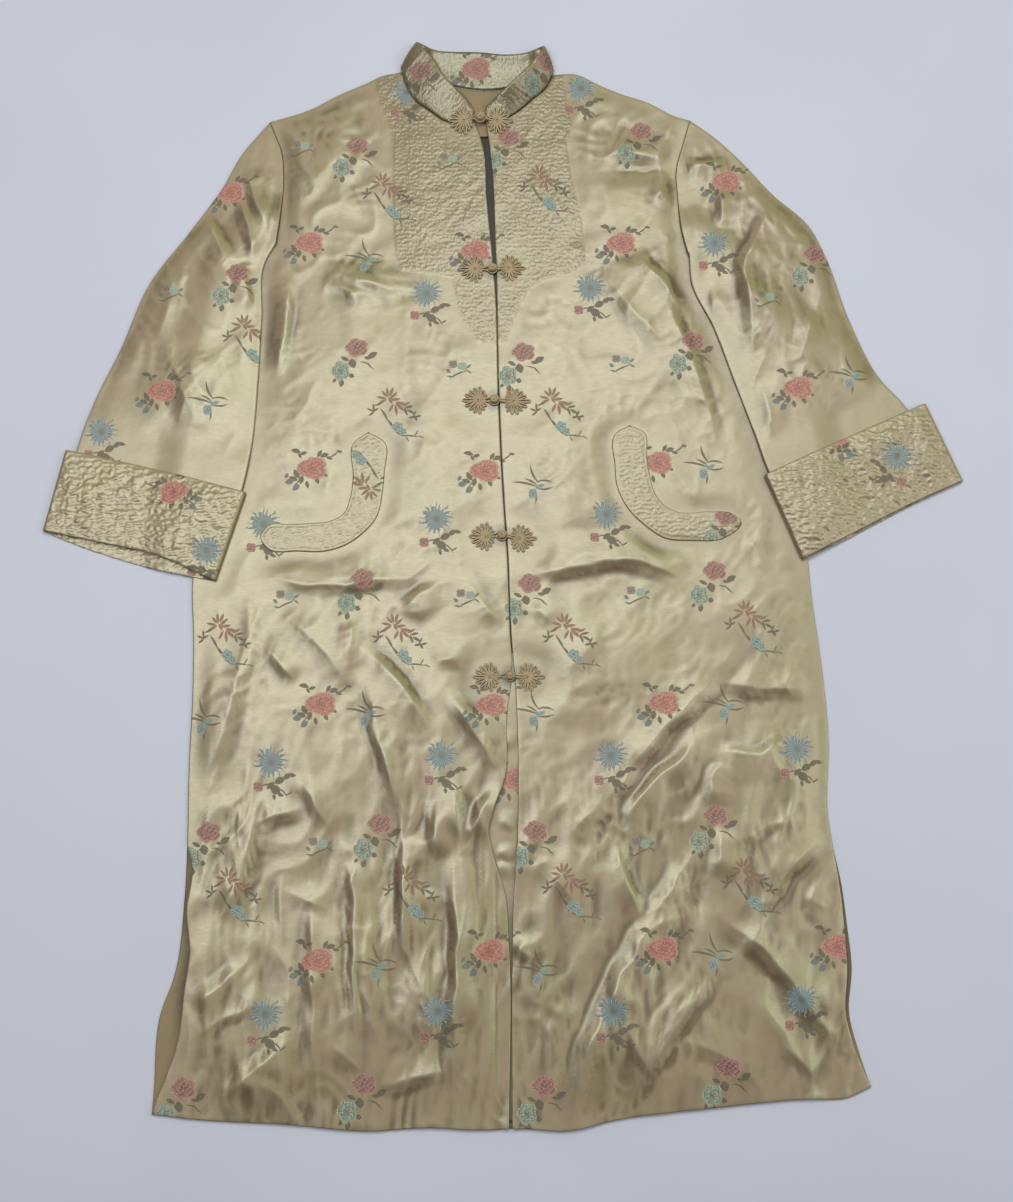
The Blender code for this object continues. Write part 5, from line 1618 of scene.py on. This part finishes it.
def add_grid(mesh, places):
    """One surface over a grid of places, and its points."""
    grid = [[mesh.verts.new(Vector(place) * MM) for place in row] for row in places]
    for first, second in zip(grid, grid[1:]):
        for corners in zip(first, second, second[1:], first[1:]):
            mesh.faces.new(corners)
    return grid


def rim_of(mesh, grid):
    """The edges all round a grid's surface."""
    sides = [row[0] for row in grid], grid[-1][1:], [row[-1] for row in grid[-2::-1]], grid[0][-2:0:-1]
    rim = [corner for side in sides for corner in side]
    return [mesh.edges.get(pair) for pair in zip(rim, rim[1:] + rim[:1])]


class ROBE_OT_collar(bpy.types.Operator):
    """Makes the stand collar: a quilted ribbon swept round the neck"""

    bl_idname = "robe.collar"
    bl_label = "Collar"

    def execute(self, context):
        cloth = context.scene.robe_cloth
        rows = smooth_line([row[1:] for row in COLLAR], 1.7)
        seam, top = rows[:, :3], rows[:, 3:]
        shares = np.linspace(0, 1, 19)
        middle = seam[:, None] + (top - seam)[:, None] * shares[None, :, None]
        along, up = np.gradient(middle, axis=(0, 1))
        normal = np.cross(up, along)
        normal = normal / np.linalg.norm(normal, axis=-1)[..., None]
        height = np.linalg.norm(top - seam, axis=1)
        bulge = COLLAR_BULGE * height / height.max()
        middle = middle + normal * (bulge[:, None] * np.sin(math.pi * shares))[..., None]
        reach = reach_along(rows[:, :2])
        flat = np.stack(np.broadcast_arrays(reach[:, None], shares[None] * height[:, None]), axis=-1)
        cells = 0.6 * quilt_height(flat.reshape(-1, 2)[:, ::-1], cloth, 1.0, 27, 0.7).reshape(flat.shape[:2])
        from_edge = np.minimum(shares, 1 - shares) * height[:, None]
        fade = rising(from_edge / 3.5)
        half = COLLAR_WALL / 2 * (0.45 + 0.55 * rounding(from_edge, 2.2))
        outer = middle + normal * (half + cells * fade)[..., None]
        outer[..., 2] = np.maximum(outer[..., 2], 0.15)
        inner = middle - normal * (half + 0.4 * cells * fade)[..., None]
        mesh = bmesh.new()
        rims = [rim_of(mesh, add_grid(mesh, places)) for places in (outer, inner)]
        bmesh.ops.bridge_loops(mesh, edges=rims[0] + rims[1])
        bmesh.ops.recalc_face_normals(mesh, faces=mesh.faces)
        piece = piece_of(mesh, "brocade_collar")
        # Painted shade in the stitched lines between the quilted cells and painted highlights on their tops,
        # through the brocade's crease tones
        level = 1 - cells.ravel() / cells.max()
        marked(piece, "crease", np.clip(np.tile(level - 0.55, 2), -1, 1))
        marked(piece, "quilted", 1)
        # Painted shade that darkens the whole collar
        marked(piece, "shade", 0.24)
        woven(piece, COLLAR_SPRAYS, COLLAR_SPRAYS)
        handed_over(piece, "collar")
        return {"FINISHED"}


class ROBE_OT_pocket_bands(bpy.types.Operator):
    """Makes the two quilted bands sewn round the pocket mouths"""

    bl_idname = "robe.pocket_bands"
    bl_label = "Pocket bands"

    def execute(self, context):
        cloth = context.scene.robe_cloth
        for side in SIDES:
            rows = POCKET_BAND[side]
            outline = smooth_line(rows + rows[:1], 2.2)[:-1]
            border = closed(outline)
            base = front_under(side, cloth)

            def under(points):
                away = rounding(distance_to(points, border), BAND_ROUND)
                return base(points) + WALL + GAP + 0.45 * (1 - away)

            def over(points):
                distance = distance_to(points, border)
                quilt = 0.6 * quilt_height(points, cloth, 1.0, 25) * rising((distance - 1.5) / 3)
                # The stitched seam 2 mm inside the edge
                seam = 0.22 * np.exp(-(((distance - 2.4) / 0.7) ** 2))
                wall = BAND_EDGE + (QUILTED_WALL - BAND_EDGE) * rounding(distance, BAND_ROUND)
                return base(points) + WALL + GAP + wall + quilt - seam

            rings = (0.3, 0.8, 1.5, 2.4)
            face = filled(outline, cloth.quilt_pitch / MM, rings=rings)
            lining = filled(outline, 5.0, rings=rings[:3])
            piece = slab("brocade_pocket_band_" + side, outline, face, lining, over, under)
            creased(piece)
            marked(piece, "quilted", 0.5)
            woven(piece, BAND_SPRAYS[side], None, BAND_TURN[side])
            handed_over(piece, "pocket_band_" + side)
        return {"FINISHED"}


def cord_mesh(name, lines, radius, cyclic, finish):
    """Sweeps round cord along lines of points, in millimetres, and gives one mesh object."""
    curve = bpy.data.curves.new(name, "CURVE")
    curve.dimensions = "3D"
    curve.bevel_depth = radius
    curve.bevel_resolution = 2
    curve.use_fill_caps = not cyclic
    for points in lines:
        spline = curve.splines.new("POLY")
        spline.points.add(len(points) - 1)
        for target, point in zip(spline.points, points):
            target.co = (*[value * MM for value in point], 1)
        spline.use_cyclic_u = cyclic
    swept = new_object(name + "_path", curve)
    graph = bpy.context.evaluated_depsgraph_get()
    data = bpy.data.meshes.new_from_object(swept.evaluated_get(graph))
    bpy.data.objects.remove(swept)
    mesh = bmesh.new()
    mesh.from_mesh(data)
    bpy.data.meshes.remove(data)
    bmesh.ops.remove_doubles(mesh, verts=mesh.verts, dist=1e-6)
    bmesh.ops.recalc_face_normals(mesh, faces=mesh.faces)
    piece = piece_of(mesh, name)
    piece.data.materials.append(finish)
    return piece


def frog_frame(row):
    """Where a frog's knot stands, as a matrix in metres."""
    x, y, height, tilt = row[2], row[3], row[6], row[7]
    return Matrix.Translation((x * MM, y * MM, height * MM)) @ Matrix.Rotation(math.radians(tilt), 4, "X")


def flower_lines(x, y, away, count):
    """Cord loops fanned round a middle, longest on the side away from the knot."""
    lines = []
    for k in range(count):
        angle = 2 * math.pi * k / count
        angle = angle - 2 * math.pi if angle > math.pi else angle
        length = float(np.interp(abs(math.degrees(angle)), *zip(*FLOWER_REACH)))
        length *= 1 + 0.03 * math.sin(3.7 * k + away)
        spread = 0.4 * 2 * math.pi * length / count / 2 + 0.5
        loop = []
        for t in np.linspace(0, 2 * math.pi, 22, endpoint=False):
            out = 0.5 - 0.5 * math.cos(t)
            along = 2.2 + (length - 3.1) * out
            across = spread * math.sin(t) * (0.25 + 0.75 * out ** 0.9)
            height = 1.0 + 0.9 * (1 - out) + 0.15 * math.sin(5 * k)
            px = along * math.cos(angle) - across * math.sin(angle)
            py = along * math.sin(angle) + across * math.cos(angle)
            loop.append((x + away * px, y + py, height))
        lines.append(loop)
    return lines


def coil_line(x, y, away):
    """A short coil of cord over a flower's middle."""
    points = []
    for t in np.linspace(0, 1, 26):
        turn = 2 * math.pi * 1.6 * t
        radius = 0.5 + 2.3 * t
        points.append((x + away * radius * math.cos(turn), y + radius * math.sin(turn), 2.55 - 0.5 * t))
    return points


class ROBE_OT_frogs(bpy.types.Operator):
    """Makes the five cord frogs: looped flowers, ball knots and the loops that hold them"""

    bl_idname = "robe.frogs"
    bl_label = "Frogs"

    def execute(self, context):
        sizes = context.scene.robe_frogs
        cord = satin_cord("Satin cord", "cord")
        gold = satin_cord("Satin cord, knotted", "knot")
        for number, row in enumerate(FROGS, 1):
            place = frog_frame(row)
            left_x, left_y, x, y, right_x, right_y = row[:6]
            for side, fx, fy, away in (("left", left_x, left_y, -1), ("right", right_x, right_y, 1)):
                name = f"cord_flower_{number}_{side}"
                loops = flower_lines(fx - x, fy - y, away, sizes.loops)
                piece = cord_mesh(name, loops, sizes.cord, True, cord)
                coil = cord_mesh(name + "_coil", [coil_line(fx - x, fy - y, away)], sizes.cord, False, cord)
                self.merge(piece, [coil], place)
                handed_over(piece, f"frog_{number}_{side}")
            self.knot(number, sizes, gold, place, right_x - x, right_y - y)
            self.loop(number, sizes, cord, place, left_x - x, left_y - y)
        return {"FINISHED"}

    def merge(self, piece, others, place):
        """Joins other meshes into a piece and moves it to its place."""
        mesh = bmesh.new()
        for source in [piece, *others]:
            mesh.from_mesh(source.data)
        bmesh.ops.transform(mesh, matrix=place, verts=mesh.verts)
        mesh.to_mesh(piece.data)
        mesh.free()
        for source in others:
            bpy.data.objects.remove(source)

    def knot(self, number, sizes, finish, place, right_x, right_y):
        """A ball knot: three strands that cross over a sphere, and a stem of two cords to its flower."""
        radius = sizes.ball / MM
        strands = []
        for t in np.linspace(0, 2 * math.pi, 150, endpoint=False):
            lift = radius + KNOT_RISE * math.cos(10 * t)
            high = 1.02 * math.sin(5 * t)
            turn = 3 * t
            out = lift * math.cos(high)
            strands.append((out * math.cos(turn), lift * math.sin(high), KNOT_Z + out * math.sin(turn)))
        ball = cord_mesh(f"cord_knot_{number}", [strands], sizes.cord * 1.25, True, finish)
        core = bmesh.new()
        bmesh.ops.create_icosphere(
            core, subdivisions=3, radius=sizes.ball, matrix=Matrix.Translation((0, 0, KNOT_Z * MM)),
        )
        core_piece = piece_of(core, f"cord_knot_{number}_core")
        stems = []
        for side in (-1, 1):
            start = np.array([radius, side * 0.9, KNOT_Z - 1.4])
            end = np.array([right_x - 2.0, right_y + side * 1.3, STEM_END])
            stems.append([start + (end - start) * t for t in np.linspace(0, 1, 8)])
        stem = cord_mesh(f"cord_knot_{number}_stem", stems, sizes.cord, False, finish)
        self.merge(ball, [core_piece, stem], place)
        handed_over(ball, f"frog_{number}_knot")

    def loop(self, number, sizes, finish, place, left_x, left_y):
        """The cord loop from the left flower, round the ball knot."""
        turn = np.radians(np.linspace(146, -146, 23))
        bow = [(5.0 * math.cos(a), 4.9 * math.sin(a), 1.6 + 0.5 * math.cos(a / 2)) for a in turn]
        start, end = [
            [(left_x + 2.0, left_y + side * 1.3, 2.4), (-8.0, side * 1.2, 1.6)] for side in (1, -1)
        ]
        line = smooth_line([*start, *bow, *end[::-1]], 1.2)
        piece = cord_mesh(f"cord_loop_{number}", [line], sizes.cord, False, finish)
        self.merge(piece, [], place)
        handed_over(piece, f"frog_{number}_loop")


class ROBE_OT_stage(bpy.types.Operator):
    """Makes the pale surface, the soft light and the camera above the hem side"""

    bl_idname = "robe.stage"
    bl_label = "Stage"

    def execute(self, context):
        stage = context.scene.robe_stage
        mesh = bmesh.new()
        bmesh.ops.create_grid(mesh, x_segments=8, y_segments=8, size=4.0)
        bmesh.ops.translate(mesh, verts=mesh.verts, vec=(0, 0, -0.0004))
        floor = piece_of(mesh, "pale_surface")
        floor.data.materials.append(matt_surface(tuple(stage.floor)))
        for name, place, target, size, setting in PANEL_LIGHTS:
            self.panel_light(name, place, target, size, getattr(stage, setting))
        world = bpy.data.worlds.new("Pale room")
        world.use_nodes = True
        background = world.node_tree.nodes["Background"]
        background.inputs["Color"].default_value = (*srgb(ROOM_TONE), 1)
        background.inputs["Strength"].default_value = stage.sky
        context.scene.world = world
        lens = bpy.data.cameras.new("photo_camera")
        lens.lens = stage.lens
        lens.sensor_width = 36
        camera = new_object("photo_camera", lens)
        camera.location = CAMERA_PLACE
        camera.rotation_euler = (math.radians(CAMERA_TILT), 0, 0)
        context.scene.camera = camera
        context.scene.view_settings.view_transform = "Standard"
        return {"FINISHED"}

    def panel_light(self, name, place, target, size, power):
        """A soft rectangular light that looks at a point."""
        light = bpy.data.lights.new(name, "AREA")
        light.shape = "RECTANGLE"
        light.size, light.size_y = size
        light.energy = power
        lamp = new_object(name, light)
        lamp.location = place
        aim = Vector(target) - Vector(place)
        lamp.rotation_euler = aim.to_track_quat("-Z", "Y").to_euler()


OPERATORS = (
    ROBE_OT_back, ROBE_OT_underlap, ROBE_OT_fronts, ROBE_OT_sleeves, ROBE_OT_cuffs, ROBE_OT_collar,
    ROBE_OT_pocket_bands, ROBE_OT_frogs, ROBE_OT_stage,
)


class ROBE_PT_pieces(bpy.types.Panel):
    """Lists the robe's pieces and their settings"""

    bl_label = "Brocade robe"
    bl_idname = "ROBE_PT_pieces"
    bl_space_type = "VIEW_3D"
    bl_region_type = "UI"
    bl_category = "Robe"

    def draw(self, context):
        for operator in OPERATORS:
            self.layout.operator(operator.bl_idname)
        for group in GROUPS:
            box = self.layout.box()
            values = getattr(context.scene, group)
            for key in type(values).__annotations__:
                box.prop(values, key)


GROUPS = {
    "robe_cloth": RobeCloth, "robe_colours": RobeColours, "robe_frogs": RobeFrogs, "robe_stage": RobeStage,
}


def register():
    for kind in (*GROUPS.values(), *OPERATORS, ROBE_PT_pieces):
        bpy.utils.register_class(kind)
    for name, kind in GROUPS.items():
        setattr(bpy.types.Scene, name, PointerProperty(type=kind))


def unregister():
    for name in GROUPS:
        delattr(bpy.types.Scene, name)
    for kind in (ROBE_PT_pieces, *OPERATORS[::-1], *GROUPS.values()):
        bpy.utils.unregister_class(kind)


def main():
    register()
    for operator in OPERATORS:
        group, name = operator.bl_idname.split(".")
        getattr(getattr(bpy.ops, group), name)()


if __name__ == "__main__":
    main()
